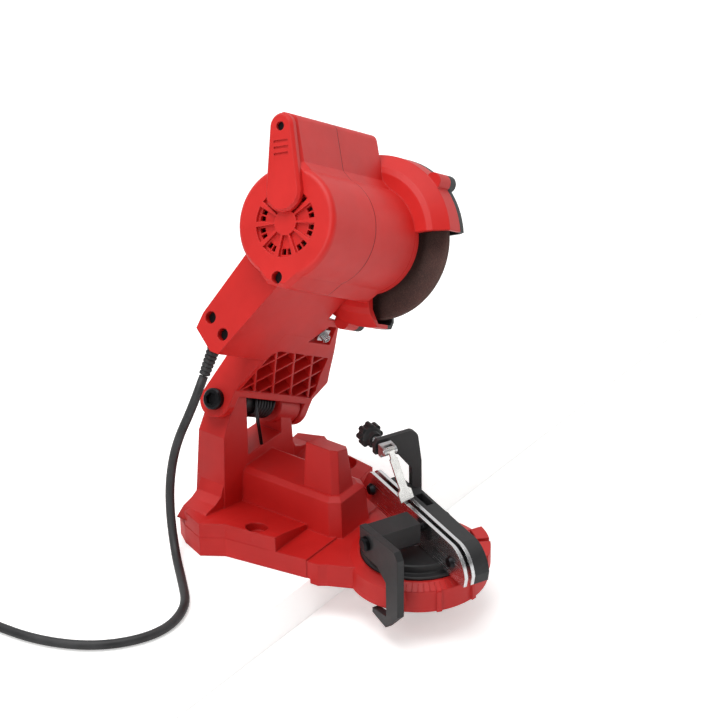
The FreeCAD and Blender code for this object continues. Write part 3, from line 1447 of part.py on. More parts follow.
def cord_tube():
    """The loose stretch of the lead: straight runs joined by tangent arcs."""
    radius = S.cord_diameter.value / 2.0
    points = [Vector(*point) for point in CORD_ROUTE]
    edges = []
    here = points[0]
    for before, corner, after in zip(points, points[1:], points[2:]):
        back, ahead = before - corner, after - corner
        shorter = min(back.Length, ahead.Length)
        half_turn = (math.pi - back.getAngle(ahead)) / 2.0
        setback = 0.45 * shorter
        bend = setback / math.tan(half_turn)
        print("cord bend radius %.1f, turn %.0f" % (bend, math.degrees(2 * half_turn)))
        start = corner + back.normalize() * setback
        end = corner + ahead.normalize() * setback
        inward = (back + ahead).normalize()
        middle = corner + inward * (bend / math.cos(half_turn) - bend)
        edges.append(Part.LineSegment(here, start).toShape())
        edges.append(Part.Arc(start, middle, end).toShape())
        here = end
    edges.append(Part.LineSegment(here, points[-1]).toShape())
    path = Part.Wire(edges)
    first = (points[1] - points[0]).normalize()
    section = Part.Wire([Part.Circle(points[0], first, radius).toShape()])
    shape = path.makePipeShell([section], True, True)
    print("cord volume ratio %.5f" % (shape.Volume / (math.pi * radius ** 2 * path.Length)))
    feature = doc.addObject("Part::Feature", "cord_tube")
    feature.Label = "cord_tube"
    feature.Shape = shape
    return feature


def cord_coil():
    """Put-away turns of the lead behind the sharpener, as one closed ring."""
    place = Placement(Vector(*COIL_CENTRE, 0.0), Rotation())
    body = new_body("cord_coil", place)
    mean, cord = S.coil_diameter / 2.0, S.cord_diameter
    turn(body, [
        (mean - 1.7 * cord, 0.1), (mean + 1.7 * cord, 0.1), (mean + 1.7 * cord, 2.0 * cord),
        (mean - 1.7 * cord, 2.0 * cord),
    ])
    return body


def plug_place():
    """On top of the coil, in line with its turns."""
    turn_angle, turn_radius = math.radians(20.0), 33.0
    spot = Vector(COIL_CENTRE[0] + turn_radius * math.cos(turn_angle),
                  COIL_CENTRE[1] + turn_radius * math.sin(turn_angle), 13.0)
    return Placement(spot, Rotation(Vector(0, 0, 1), 20.0))


def mains_plug():
    body = new_body("mains_plug", plug_place())
    pad(body, both_sides([(8.0, 20.0), (17.0, 14.0), (18.5, -8.0), (8.0, -16.0)]), 0.0, 24.0)
    return body


def plug_pins():
    body = new_body("plug_pins", plug_place())
    for across in (-9.5, 9.5):
        disc(body, across, 12.0, 2.4, -39.05, -20.05, "XZ")
    return body


# ---------------------------------------------------------------------------------------------------- the build

def pieces():
    return [
        base_casting(), hinge_bolt(), hinge_nut(), spring_bush(), torsion_spring(),
        turntable_disc(), turntable_bolt(), lock_knob(), vise_jaw(), rail_fixed(), rail_moving(), rail_pins(),
        clamp_bolt(), clamp_lever(), stop_bracket(), bracket_screws(), adjusting_screw(), star_knob(),
        finger_carrier(), finger_pin(), stop_finger(),
        spindle_shaft(), bearing_part("bearing_rear", S.vent_end - 5.2 - S.bearing_width),
        bearing_part("bearing_front", S.guard_back + 0.05), armature_core(), commutator(), motor_can(),
        field_magnets(),
        brush_pieces("brush_holders", Size.of(12.4), Size.of(29.0), 4.2, 3.8, 3.2),
        brush_pieces("carbon_brushes", Size.of(10.05), Size.of(20.0), 3.1, 2.7, None),
        cooling_fan(), grinding_wheel(), wheel_flange_inner(), wheel_flange_outer(), spindle_nut(),
        motor_housing_left(), motor_housing_right(), guard_cover(), guard_screws(), handle_cover(),
        arm_yoke(), depth_screw(), depth_nut(), housing_screws(), switch_body(), switch_rocker(), cable_clamp(),
        strain_relief(), cord_tube(), cord_coil(), mains_plug(), plug_pins(),
    ]


def write(parts):
    doc.recompute()
    faults = [each.Name for each in doc.Objects if "Invalid" in each.State or "Error" in each.State]
    if faults:
        raise RuntimeError("failed features: " + ", ".join(faults))
    os.makedirs("parts", exist_ok=True)
    for part in parts:
        if part.Shape.isNull() or not part.Shape.isValid():
            raise RuntimeError("bad shape: " + part.Label)
        part.Shape.exportStep("parts/%s.step" % part.Label)
        print("%-22s solids %d volume %.0f" % (part.Label, len(part.Shape.Solids), part.Shape.Volume))


write(pieces())
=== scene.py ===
"""Electric chainsaw sharpener in its studio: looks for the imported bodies.

Metres, +Z up, the vise to -Y.
"""
import math

import bmesh
import bpy
from mathutils import Matrix, Vector


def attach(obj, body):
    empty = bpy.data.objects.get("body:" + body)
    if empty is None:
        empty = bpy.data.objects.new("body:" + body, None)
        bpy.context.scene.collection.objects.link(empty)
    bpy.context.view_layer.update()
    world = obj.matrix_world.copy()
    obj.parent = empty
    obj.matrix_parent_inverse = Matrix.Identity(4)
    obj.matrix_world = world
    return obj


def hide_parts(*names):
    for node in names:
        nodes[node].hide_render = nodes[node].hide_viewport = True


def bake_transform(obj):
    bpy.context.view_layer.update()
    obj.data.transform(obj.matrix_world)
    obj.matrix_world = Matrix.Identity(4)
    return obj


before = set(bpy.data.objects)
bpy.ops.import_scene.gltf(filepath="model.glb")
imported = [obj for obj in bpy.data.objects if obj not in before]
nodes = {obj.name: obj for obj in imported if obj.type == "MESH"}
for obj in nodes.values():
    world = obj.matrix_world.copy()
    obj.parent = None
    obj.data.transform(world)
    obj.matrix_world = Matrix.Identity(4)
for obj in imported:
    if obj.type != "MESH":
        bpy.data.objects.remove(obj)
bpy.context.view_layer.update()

# ------------------------------------------------------------------------------------------ camera
# A long lens, high off the left front corner of the tool. It is turned a little about its own
# axis, so that upright edges lean by about one degree.
EYE = Vector((-1.3078, -1.0206, 1.0465))
AZIMUTH, ELEVATION, ROLL = math.radians(-53.50), math.radians(28.86), math.radians(-0.99)
FOCAL_LENGTH, SENSOR_WIDTH = 137.86, 36.0
NEAREST, FARTHEST = 0.05, 20.0
ahead = Vector((-math.sin(AZIMUTH) * math.cos(ELEVATION),
                math.cos(AZIMUTH) * math.cos(ELEVATION),
                -math.sin(ELEVATION)))
level = Vector((math.cos(AZIMUTH), math.sin(AZIMUTH), 0.0))
upright = level.cross(ahead)
across = math.cos(ROLL) * level + math.sin(ROLL) * upright
upward = across.cross(ahead)
lens = bpy.data.cameras.new("long_lens")
lens.lens, lens.sensor_width = FOCAL_LENGTH, SENSOR_WIDTH
lens.clip_start, lens.clip_end = NEAREST, FARTHEST
camera = bpy.data.objects.new("camera", lens)
bpy.context.collection.objects.link(camera)
camera.matrix_world = Matrix((across, upward, -ahead)).transposed().to_4x4()
camera.location = EYE
bpy.context.scene.camera = camera


# -------------------------------------------------------------------------------------- mains lead
# A round lead with a rubber jacket, 6.4 mm thick. It drops from the boot on the arm to the bench,
# wanders out to the left and ends in a coil of its spare length, with the plug lying on the turns.
class Term:
    """A shader socket that takes part in sums; each sum adds its Math node."""

    def __init__(self, finish, socket):
        self.finish, self.socket = finish, socket

    def maths(self, operation, *terms):
        return self.finish.node("ShaderNodeMath", {"operation": operation}, dict(enumerate(terms)))

    def __add__(self, other):
        return self.maths("ADD", self, other)

    __radd__ = __add__

    def __sub__(self, other):
        return self.maths("SUBTRACT", self, other)

    def __rsub__(self, other):
        return self.maths("SUBTRACT", other, self)

    def __mul__(self, other):
        return self.maths("MULTIPLY", self, other)

    __rmul__ = __mul__

    def __pow__(self, other):
        return self.maths("POWER", self, other)

    def sine(self):
        return self.maths("SINE", self)

    def size(self):
        return self.maths("ABSOLUTE", self)

    def above(self, low, high):
        """0 below low, 1 above high, and straight in between."""
        return self.finish.node("ShaderNodeMapRange", {"clamp": True},
                                {"Value": self, "From Min": low, "From Max": high})


class Finish:
    """A material, or the world, and the nodes that make its look."""

    def __init__(self, name, kind="materials"):
        self.made = getattr(bpy.data, kind).new(name)
        self.made.use_nodes = True
        self.tree = self.made.node_tree
        self.shader = next(node for node in self.tree.nodes
                           if node.type in ("BSDF_PRINCIPLED", "BACKGROUND"))

    def node(self, kind, settings=None, sockets=None, out=0):
        made = self.tree.nodes.new(kind)
        for key, value in (settings or {}).items():
            setattr(made, key, value)
        for key, value in (sockets or {}).items():
            self.join(made.inputs[key], value)
        return Term(self, made.outputs[out])

    def join(self, socket, value):
        if isinstance(value, Term):
            self.tree.links.new(value.socket, socket)
        elif isinstance(value, tuple) and len(value) == 3 and socket.type == "RGBA":
            socket.default_value = (*value, 1.0)
        else:
            socket.default_value = value

    def place(self):
        return self.node("ShaderNodeTexCoord", {}, {}, "Object")

    def along(self, where, axis):
        """How far a place lies along an axis."""
        return self.node("ShaderNodeVectorMath", {"operation": "DOT_PRODUCT"},
                         {0: where, 1: tuple(axis)}, 1)

    def noise(self, where, scale, detail=2.0, rough=0.5):
        return self.node("ShaderNodeTexNoise", {}, {
            "Vector": where, "Scale": scale, "Detail": detail, "Roughness": rough})

    def blend(self, factor, low, high):
        return self.node("ShaderNodeMix", {"data_type": "RGBA"}, {0: factor, 6: low, 7: high}, 2)

    def relief(self, height, strength, depth, edge):
        """Bump of that depth in metres, over edges rounded by that radius."""
        rounded = self.node("ShaderNodeBevel", {"samples": 6}, {"Radius": edge})
        return self.node("ShaderNodeBump", {}, {
            "Height": height, "Strength": strength, "Distance": depth, "Normal": rounded})

    def surface(self, **sockets):
        for name, value in sockets.items():
            self.join(self.shader.inputs[name.replace("_", " ")], value)
        return self.made


def dress(material, *names):
    """Gives CAD pieces their finish."""
    for name in names:
        slots = nodes[name].data.materials
        if len(slots) == 0:
            slots.append(material)
        for index in range(len(slots)):
            slots[index] = material


def rubber(name, colour):
    finish = Finish(name)
    where = finish.place()
    cloud = finish.noise(where, 60.0, 4.0)
    grain = finish.noise(where, 2400.0, 2.0)
    pale = tuple(min(1.0, c * 2.1 + 0.012) for c in colour)
    return finish.surface(
        Base_Color=finish.blend(cloud.above(0.35, 0.75), colour, pale),
        Roughness=0.42 + 0.16 * cloud + 0.08 * grain,
        Normal=finish.relief(grain + 0.4 * cloud, 0.18, 0.0001, 0.0004),
    )


def mesh_piece(name, build, material, body, slot, *replaced, smooth=True):
    """A piece made in mesh code: build fills the bmesh; the piece rides on its body, if that is
    given, and stands for CAD nodes."""
    bm = bmesh.new()
    build(bm)
    bmesh.ops.recalc_face_normals(bm, faces=bm.faces)
    mesh = bpy.data.meshes.new(name)
    bm.to_mesh(mesh)
    bm.free()
    for face in mesh.polygons:
        face.use_smooth = smooth
    mesh.materials.append(material)
    piece = bpy.data.objects.new(name, mesh)
    bpy.context.collection.objects.link(piece)
    if body:
        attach(piece, body)
    if replaced:
        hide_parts(*replaced)
    return piece


def rings(bm, frames):
    """Skin over rings of points, each ring a list of places; the ends are capped."""
    made = [[bm.verts.new(spot) for spot in ring] for ring in frames]
    for one, two in zip(made, made[1:]):
        for k in range(len(one)):
            j = (k + 1) % len(one)
            bm.faces.new((one[k], one[j], two[j], two[k]))
    bm.faces.new(made[0][::-1])
    bm.faces.new(made[-1])


def soft_path(corners, spacing):
    """Places along a line that rounds each corner between the middles of its two legs."""
    corners = [Vector(corner) for corner in corners]
    middles = [(one + two) / 2 for one, two in zip(corners, corners[1:])]
    line = [corners[0]]
    for before, corner, after in zip(middles, corners[1:], middles[1:]):
        steps = max(3, round((after - before).length / spacing))
        for step in range(steps):
            part = step / steps
            line.append(before * (1 - part) ** 2 + corner * 2 * part * (1 - part)
                        + after * part * part)
    return line + [middles[-1], corners[-1]]


def tube(bm, line, radius, sides):
    """Round skin along a line; its cross-section doesn't twist."""
    frames = []
    side = (line[1] - line[0]).orthogonal().normalized()
    for index, spot in enumerate(line):
        ahead_spot, last_spot = line[min(index + 1, len(line) - 1)], line[max(index - 1, 0)]
        along = (ahead_spot - last_spot).normalized()
        side = (side - along * side.dot(along)).normalized()
        other = along.cross(side)
        ring = []
        for k in range(sides):
            angle = 2 * math.pi * k / sides
            ring.append(spot + radius * (side * math.cos(angle) + other * math.sin(angle)))
        frames.append(ring)
    rings(bm, frames)


CORD_THICK, LEAD_LENGTH, LEAD_SPACING, LEAD_SIDES = 0.0064, 1.47, 0.0045, 16
FLOOR_LAYER, UPPER_LAYER = 0.0034, 0.0096
COIL = Vector((-0.262, 0.140, 0.0))
# from the boot down to the bench, forward past the base and out to the coil
lead_route = [
    (-0.05968, 0.03486, 0.13714), (-0.0711, 0.03724, 0.11628), (-0.0730, 0.0510, 0.0860),
    (-0.0720, 0.0595, 0.0550), (-0.0735, 0.0600, 0.0270), (-0.0860, 0.0460, FLOOR_LAYER),
    (-0.1080, 0.0225, FLOOR_LAYER), (-0.1320, -0.0020, FLOOR_LAYER),
    (-0.1660, -0.0080, FLOOR_LAYER), (-0.2000, 0.0140, FLOOR_LAYER),
    (-0.2190, 0.0520, FLOOR_LAYER), (-0.2230, 0.0960, FLOOR_LAYER),
]
# four turns, two on the bench from the outside in, one that climbs and one in the hollows above:
# radius and height at the start and the end of each
TURN_POINTS, FIRST_ANGLE, WAVER, CLIMB_RATE = 14, math.radians(2), 0.0003, 3.0
turns = [(0.0426, 0.0350, FLOOR_LAYER, FLOOR_LAYER), (0.0350, 0.0274, FLOOR_LAYER, FLOOR_LAYER),
         (0.0274, 0.0312, FLOOR_LAYER, UPPER_LAYER), (0.0312, 0.0372, UPPER_LAYER, UPPER_LAYER)]
for count, (start, end, low, high) in enumerate(turns):
    for step in range(TURN_POINTS):
        part = step / TURN_POINTS
        angle = 2 * math.pi * part + FIRST_ANGLE
        radius = start + (end - start) * part + WAVER * math.sin(3 * angle + count)
        rise = min(1.0, CLIMB_RATE * part)
        lead_route.append((COIL.x + radius * math.cos(angle), COIL.y + radius * math.sin(angle),
                           low + (high - low) * rise))
# the last turn leaves the others, climbs over them in a wide bend and runs into the plug's back
PLUG_TURN, PLUG_REACH, PLUG_LIFT, PLUG_BACK = math.radians(20), 0.033, 0.025, 0.0120
plug_out = Vector((math.cos(PLUG_TURN), math.sin(PLUG_TURN), 0))
plug_along = Vector((-math.sin(PLUG_TURN), math.cos(PLUG_TURN), 0))
plug_centre = COIL + PLUG_REACH * plug_out + Vector((0, 0, PLUG_LIFT))
TOP_TURN, TOP_FROM, LEAVES_AT, TOP_STEPS = 0.0372, math.radians(-18), math.radians(220), 8
STRAIGHT, TOP_BEND, BEND_SWEEP, BEND_STEPS = 0.0143, 0.0296, math.radians(140), 6
LEVEL_POINTS = 2
last_turn = []
for step in range(TOP_STEPS + 1):
    angle = TOP_FROM + (LEAVES_AT - TOP_FROM) * step / TOP_STEPS
    last_turn.append(plug_out * TOP_TURN * math.cos(angle)
                     + plug_along * TOP_TURN * math.sin(angle))
heading = LEAVES_AT + math.radians(90)
swing = last_turn[-1] + STRAIGHT * (plug_out * math.cos(heading)
                                    + plug_along * math.sin(heading))
bend_centre = swing - TOP_BEND * (plug_out * math.cos(LEAVES_AT)
                                  + plug_along * math.sin(LEAVES_AT))
for step in range(BEND_STEPS + 1):
    angle = LEAVES_AT + BEND_SWEEP * step / BEND_STEPS
    last_turn.append(bend_centre + TOP_BEND * (plug_out * math.cos(angle)
                                               + plug_along * math.sin(angle)))
last_turn.append(plug_out * PLUG_REACH - plug_along * PLUG_BACK)
for step, spot in enumerate(last_turn):
    climb = max(0.0, step - LEVEL_POINTS) / (len(last_turn) - 2 * LEVEL_POINTS)
    climb = min(1.0, climb)
    lead_route.append((
        COIL.x + spot.x, COIL.y + spot.y,
        UPPER_LAYER + (plug_centre.z - UPPER_LAYER) * climb * climb * (3 - 2 * climb)))

black_rubber = rubber("black_rubber", (0.012, 0.012, 0.013))
lead_line = soft_path(lead_route, LEAD_SPACING)
mains_lead = mesh_piece(
    "mains_lead", lambda bm: tube(bm, lead_line, CORD_THICK / 2, LEAD_SIDES), black_rubber, None,
    "black_rubber", "cord_tube", "cord_coil")
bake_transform(mains_lead)
dress(black_rubber, "strain_relief")


# -------------------------------------------------------------------------------------- mains plug
# A grip moulded in rubber round two brass pins: a slim ribbed neck that swells to the flat face.
# It lies on the coil, where the lead's last turn ends.
RING_POINTS = 28


def squircle(centre, side, up, half_wide, half_high, power):
    """Ring of points between a circle (power 1) and a rectangle (power 0)."""
    spots = []
    for k in range(RING_POINTS):
        angle = 2 * math.pi * k / RING_POINTS
        c, s = math.cos(angle), math.sin(angle)
        spots.append(centre + side * half_wide * math.copysign(abs(c) ** power, c)
                     + up * half_high * math.copysign(abs(s) ** power, s))
    return spots


# along the plug, half width, half height, squareness
NECK_END = [(-0.0158, 0.0050, 0.0048, 1.0), (-0.0150, 0.0062, 0.0058, 1.0)]
GRIP = [(-0.0048, 0.0085, 0.0072, 0.8), (-0.0010, 0.0125, 0.0092, 0.7),
        (0.0040, 0.0150, 0.0106, 0.62), (0.0090, 0.0152, 0.0104, 0.6),
        (0.0130, 0.0150, 0.0104, 0.6), (0.0160, 0.0172, 0.0114, 0.6),
        (0.0190, 0.0178, 0.0118, 0.6), (0.0200, 0.0170, 0.0110, 0.6)]
NECK_RIBS, FIRST_RIB, RIB_PITCH = 3, -0.0145, 0.0032


def plug_form(bm):
    stations = list(NECK_END)
    for rib in range(NECK_RIBS):
        base = FIRST_RIB + RIB_PITCH * rib
        stations += [(base, 0.0072, 0.0064, 0.9), (base + 0.0016, 0.0072, 0.0064, 0.9),
                     (base + 0.0018, 0.0062, 0.0056, 0.9), (base + 0.0030, 0.0062, 0.0056, 0.9)]
    stations += GRIP
    rings(bm, [squircle(plug_centre + plug_along * run, plug_out, Vector((0, 0, 1)),
                        wide, high, power) for run, wide, high, power in stations])


mains_plug = mesh_piece("plug_grip", plug_form, black_rubber, "base", "black_rubber", "mains_plug")


# ---------------------------------------------------------------------------------------- coil tie
# A flat rubber strap, 7 mm wide, drawn round all the turns of the spare lead.
# With it the cord is complete: lead, plug, pins and tie belong together.
TIE_AT, TURNS_MIDDLE, TURNS_HEIGHT = math.radians(200), 0.0351, 0.0067
TIE_HALF_WIDE, TIE_HALF_HIGH, TIE_POWER = 0.0112, 0.0062, 0.5
TIE_SECTIONS = [(-0.0035, 0.0), (-0.0030, 0.0006), (0.0030, 0.0006), (0.0035, 0.0)]


def tie_form(bm):
    out = Vector((math.cos(TIE_AT), math.sin(TIE_AT), 0))
    along = Vector((-math.sin(TIE_AT), math.cos(TIE_AT), 0))
    up = Vector((0, 0, 1))
    middle = COIL + out * TURNS_MIDDLE
    rings(bm, [squircle(middle + along * offset + up * TURNS_HEIGHT, out, up,
                        TIE_HALF_WIDE + grow, TIE_HALF_HIGH + grow / 2, TIE_POWER)
               for offset, grow in TIE_SECTIONS])


coil_tie = mesh_piece("coil_tie", tie_form, black_rubber, "base", "black_rubber")


# ------------------------------------------------------------------- motor shells, handle and arm
# Glass-filled nylon, moulded in one bright red with a fine spark-eroded texture and small outer
# radii. The motor barrel has a thin parting line round it, square to the shaft.
SHAFT = Vector((0.877148, 0.0, -0.480223))
WHEEL_CENTRE = Vector((0.07748, -0.01600, 0.19610))
PARTING = -0.0700


def moulded(name, colour, grain_size, edge, gloss, scuff=0.0, parting=None):
    finish = Finish(name)
    where = finish.place()
    cloud = finish.noise(where, 14.0, 4.0, 0.6)
    grain = finish.noise(where, grain_size, 2.0)
    flow = finish.noise(where, 120.0, 3.0)
    deep = tuple(c * 0.86 for c in colour)
    lit = tuple(min(1.0, c * 1.10 + 0.004) for c in colour)
    tone = finish.blend(cloud.above(0.3, 0.7), deep, lit)
    if scuff:
        dust = tuple(min(1.0, c * 1.3 + 0.03) for c in colour)
        tone = finish.blend(flow.above(0.58, 0.86) * scuff, tone, dust)
    height = grain + 0.35 * flow
    if parting is not None:
        from_line = finish.along(where, SHAFT) - (SHAFT.dot(WHEEL_CENTRE) + parting)
        joint = 1.0 - from_line.size().above(0.00012, 0.00045)
        tone = finish.blend(joint * 0.85, tone, tuple(c * 0.12 for c in colour))
        height = height - 6.0 * joint
    return finish.surface(
        Base_Color=tone,
        Roughness=gloss + 0.10 * cloud + 0.10 * flow,
        Specular_IOR_Level=0.42,
        Normal=finish.relief(height, 0.22, 0.00012, edge),
    )


SHELL_COLOUR = (0.62, 0.013, 0.010)
shell_red = moulded("shell_red", SHELL_COLOUR, 1500.0, 0.0009, 0.34)
motor_red = moulded("motor_red", SHELL_COLOUR, 1500.0, 0.0009, 0.34, parting=PARTING)
dress(shell_red, "arm_yoke", "handle_cover")
dress(motor_red, "motor_housing_left", "motor_housing_right")


# ----------------------------------------------------------------------------- base and its scale
# The base is one large moulding, a shade deeper and duller than the shells, with bigger radii.
# The sloping rim of its seat carries a degree scale of short ribs, moulded with it.
base_red = moulded("base_red", (0.56, 0.010, 0.008), 1100.0, 0.0013, 0.40)
dress(base_red, "base_casting")
SEAT = Vector((0.0, -0.0996, 0.0))
SCALE_FROM, SCALE_TO, SCALE_STEP, LONG_EVERY = -155, -19, 5, 15
LONG_START, SHORT_START, SCALE_END = 0.0419, 0.0430, 0.0484
RIM_RADIUS, RIM_HEIGHT, RIM_SLOPE = 0.0416, 0.0160, 0.5
RIB_HALF, RIB_TOP_SHARE, RIB_SUNK, RIB_PROUD = 0.00045, 0.6, -0.0004, 0.0005
RIB_SECTION = [(-RIB_HALF, RIB_SUNK), (RIB_HALF, RIB_SUNK),
               (RIB_HALF * RIB_TOP_SHARE, RIB_PROUD), (-RIB_HALF * RIB_TOP_SHARE, RIB_PROUD)]
RIB_FACES = [(0, 1, 2, 3), (7, 6, 5, 4), (0, 4, 5, 1), (1, 5, 6, 2), (2, 6, 7, 3), (3, 7, 4, 0)]


def scale_form(bm):
    for degrees in range(SCALE_FROM, SCALE_TO, SCALE_STEP):
        angle = math.radians(degrees)
        out = Vector((math.cos(angle), math.sin(angle), 0))
        side = Vector((-math.sin(angle), math.cos(angle), 0))
        spots = []
        for radius in (SHORT_START if degrees % LONG_EVERY else LONG_START, SCALE_END):
            rim = RIM_HEIGHT - (radius - RIM_RADIUS) * RIM_SLOPE
            for offset, rise in RIB_SECTION:
                spots.append(bm.verts.new(SEAT + out * radius + side * offset
                                          + Vector((0, 0, rim + rise))))
        for face in RIB_FACES:
            bm.faces.new([spots[k] for k in face])


mesh_piece("seat_scale", scale_form, base_red, "base", "red_casting", smooth=False)


# -------------------------------------------------------------------------------- black mouldings
# Black nylon: the turntable and vise body, lever, bracket and knobs, the switch and the fan, all
# slightly dusty on broad faces. The guard's outer cover is a greyer plate, screwed to the shell.
part_black = moulded("part_black", (0.017, 0.017, 0.018), 1300.0, 0.0007, 0.38, 0.35)
guard_black = moulded("guard_black", (0.030, 0.029, 0.030), 1500.0, 0.0006, 0.42, 0.25)
dress(guard_black, "guard_cover")
dress(part_black, "turntable_disc", "lock_knob", "vise_jaw", "clamp_lever", "stop_bracket",
      "star_knob", "switch_body", "switch_rocker", "cable_clamp", "spring_bush", "cooling_fan")


# -------------------------------------------------------------------------------------- vise rails
# Two plates of polished steel, 2.5 mm thick, that grip the chain between them.
# They are ground along their length, and the ground lines stay faintly visible.
RAIL_ALONG = (-0.41945, -0.90778, 0.0)
STROKE_ALONG, STROKE_ACROSS = 9.0, 700.0


def ground_steel(name, colour, along, gloss, edge):
    finish = Finish(name)
    where = finish.place()
    height = finish.node("ShaderNodeSeparateXYZ", {}, {"Vector": where}, 2)
    stretched = finish.node("ShaderNodeCombineXYZ", {}, {
        0: finish.along(where, along) * STROKE_ALONG,
        1: finish.along(where, (along[1], -along[0], 0.0)) * STROKE_ACROSS,
        2: height * STROKE_ACROSS})
    stroke = finish.noise(stretched, 1.0, 5.0, 0.65)
    cloud = finish.noise(where, 40.0, 3.0)
    dark = tuple(c * 0.80 for c in colour)
    return finish.surface(
        Base_Color=finish.blend(stroke.above(0.25, 0.8), dark, colour),
        Metallic=1.0,
        Roughness=gloss + 0.16 * stroke + 0.10 * cloud,
        Normal=finish.relief(stroke, 0.10, 0.00005, edge),
    )


dress(ground_steel("rail_steel", (0.80, 0.80, 0.81), RAIL_ALONG, 0.12, 0.0003),
      "rail_fixed", "rail_moving")


# ---------------------------------------------------------------------- bolts, nuts, pins, finger
# Zinc-plated steel with a cloudy passivated skin and soft edges. The hinge bolt, the small screws
# and the rail pins are blackened, and the chain-stop finger is a brighter strip.
def plated(name, colour, gloss, grain_size):
    finish = Finish(name)
    where = finish.place()
    cloud = finish.noise(where, 160.0, 4.0)
    grain = finish.noise(where, grain_size, 2.0)
    dull = tuple(c * 0.72 for c in colour)
    return finish.surface(
        Base_Color=finish.blend(cloud.above(0.3, 0.75), dull, colour),
        Metallic=1.0,
        Roughness=gloss + 0.14 * cloud + 0.06 * grain,
        Normal=finish.relief(grain + cloud, 0.12, 0.00006, 0.0003),
    )


dress(plated("zinc", (0.74, 0.75, 0.76), 0.20, 1600.0),
      "hinge_nut", "turntable_bolt", "finger_carrier", "finger_pin", "wheel_flange_inner",
      "wheel_flange_outer", "spindle_nut", "spindle_shaft", "bearing_rear", "bearing_front",
      "depth_nut")
dress(plated("blackened", (0.030, 0.030, 0.033), 0.30, 1600.0),
      "hinge_bolt", "bracket_screws", "guard_screws", "housing_screws", "rail_pins", "clamp_bolt")
dress(plated("bright_steel", (0.93, 0.92, 0.89), 0.16, 1800.0), "stop_finger")
dress(plated("brass", (0.80, 0.66, 0.36), 0.20, 1200.0), "plug_pins")


# ------------------------------------------------------------------ depth screw, adjusting screw
# Plated steel with a rolled thread, bright on the crests and dark with painted shade in the
# grooves.
# The depth screw stands in the arm, the adjusting screw carries the finger along the vise.
DEPTH_AXIS, DEPTH_PITCH = (-0.23815, -0.86837, -0.43499), 0.0010
ADJUSTER_PITCH = 0.0009
THREAD_COLOUR = (0.70, 0.71, 0.72)


def threaded(name, axis, pitch):
    finish = Finish(name)
    where = finish.place()
    wave = 0.5 + 0.5 * (finish.along(where, axis) * (2 * math.pi / pitch)).sine()
    cloud = finish.noise(where, 160.0, 4.0)
    # painted shade: the colour darkens to 0.3 of the steel where the thread wave dips into a
    # groove
    groove_shade = tuple(c * 0.30 for c in THREAD_COLOUR)
    return finish.surface(
        Base_Color=finish.blend(wave.above(0.10, 0.75), groove_shade, THREAD_COLOUR),
        Metallic=1.0,
        Roughness=0.20 + 0.12 * cloud,
        Normal=finish.relief(wave, 0.9, 0.0004, 0.0002),
    )


dress(threaded("depth_thread", DEPTH_AXIS, DEPTH_PITCH), "depth_screw")
dress(threaded("adjuster_thread", RAIL_ALONG, ADJUSTER_PITCH), "adjusting_screw")


# -------------------------------------------------------------------------------- inside the motor
# Stacked steel plates in the armature, a steel can with dark ferrite magnets, and a copper
# commutator with carbon brushes in copper holders. The two shells and the vents close it in.
dress(plated("laminations", (0.42, 0.42, 0.43), 0.35, 900.0), "armature_core", "motor_can")
dress(plated("copper", (0.78, 0.45, 0.26), 0.25, 1200.0), "commutator", "brush_holders")
dress(rubber("carbon", (0.02, 0.02, 0.02)), "carbon_brushes")
dress(plated("ferrite", (0.06, 0.06, 0.06), 0.6, 800.0), "field_magnets")


# ---------------------------------------------------------------------------------- grinding wheel
# Bonded brown corundum, 108 mm across and 3.2 mm thick, clamped between two flanges: sharp grains
# in a darker resin, dressed paler at the rim.
GRAINS_PER_METRE = 2600.0
DRESSED_FROM, DRESSED_TO = 0.0500, 0.0538


def corundum():
    finish = Finish("corundum")
    where = finish.place()
    offset = finish.node("ShaderNodeVectorMath", {"operation": "SUBTRACT"},
                         {0: where, 1: tuple(WHEEL_CENTRE)})
    depth = finish.along(offset, SHAFT)
    reach = finish.node("ShaderNodeVectorMath", {"operation": "LENGTH"}, {0: offset}, 1)
    radius = (reach * reach - depth * depth) ** 0.5
    cells = {"Vector": where, "Scale": GRAINS_PER_METRE}
    grains = finish.node("ShaderNodeTexVoronoi", {}, cells, 0)
    grain_colour = finish.node("ShaderNodeTexVoronoi", {}, cells, 1)
    sparkle = finish.node("ShaderNodeSeparateColor", {}, {0: grain_colour}, 0)
    cloud = finish.noise(where, 55.0, 4.0)
    bond = finish.blend(cloud.above(0.3, 0.75), (0.052, 0.026, 0.022), (0.080, 0.038, 0.032))
    speckled = finish.blend(sparkle.above(0.55, 1.0) * 0.40, bond, (0.20, 0.11, 0.09))
    worn = radius.above(DRESSED_FROM, DRESSED_TO) * 0.25
    return finish.surface(
        Base_Color=finish.blend(worn, speckled, (0.16, 0.10, 0.085)),
        Roughness=0.78 + 0.15 * sparkle,
        Normal=finish.relief(1.0 - grains, 0.5, 0.0002, 0.0003),
    )


dress(corundum(), "grinding_wheel")


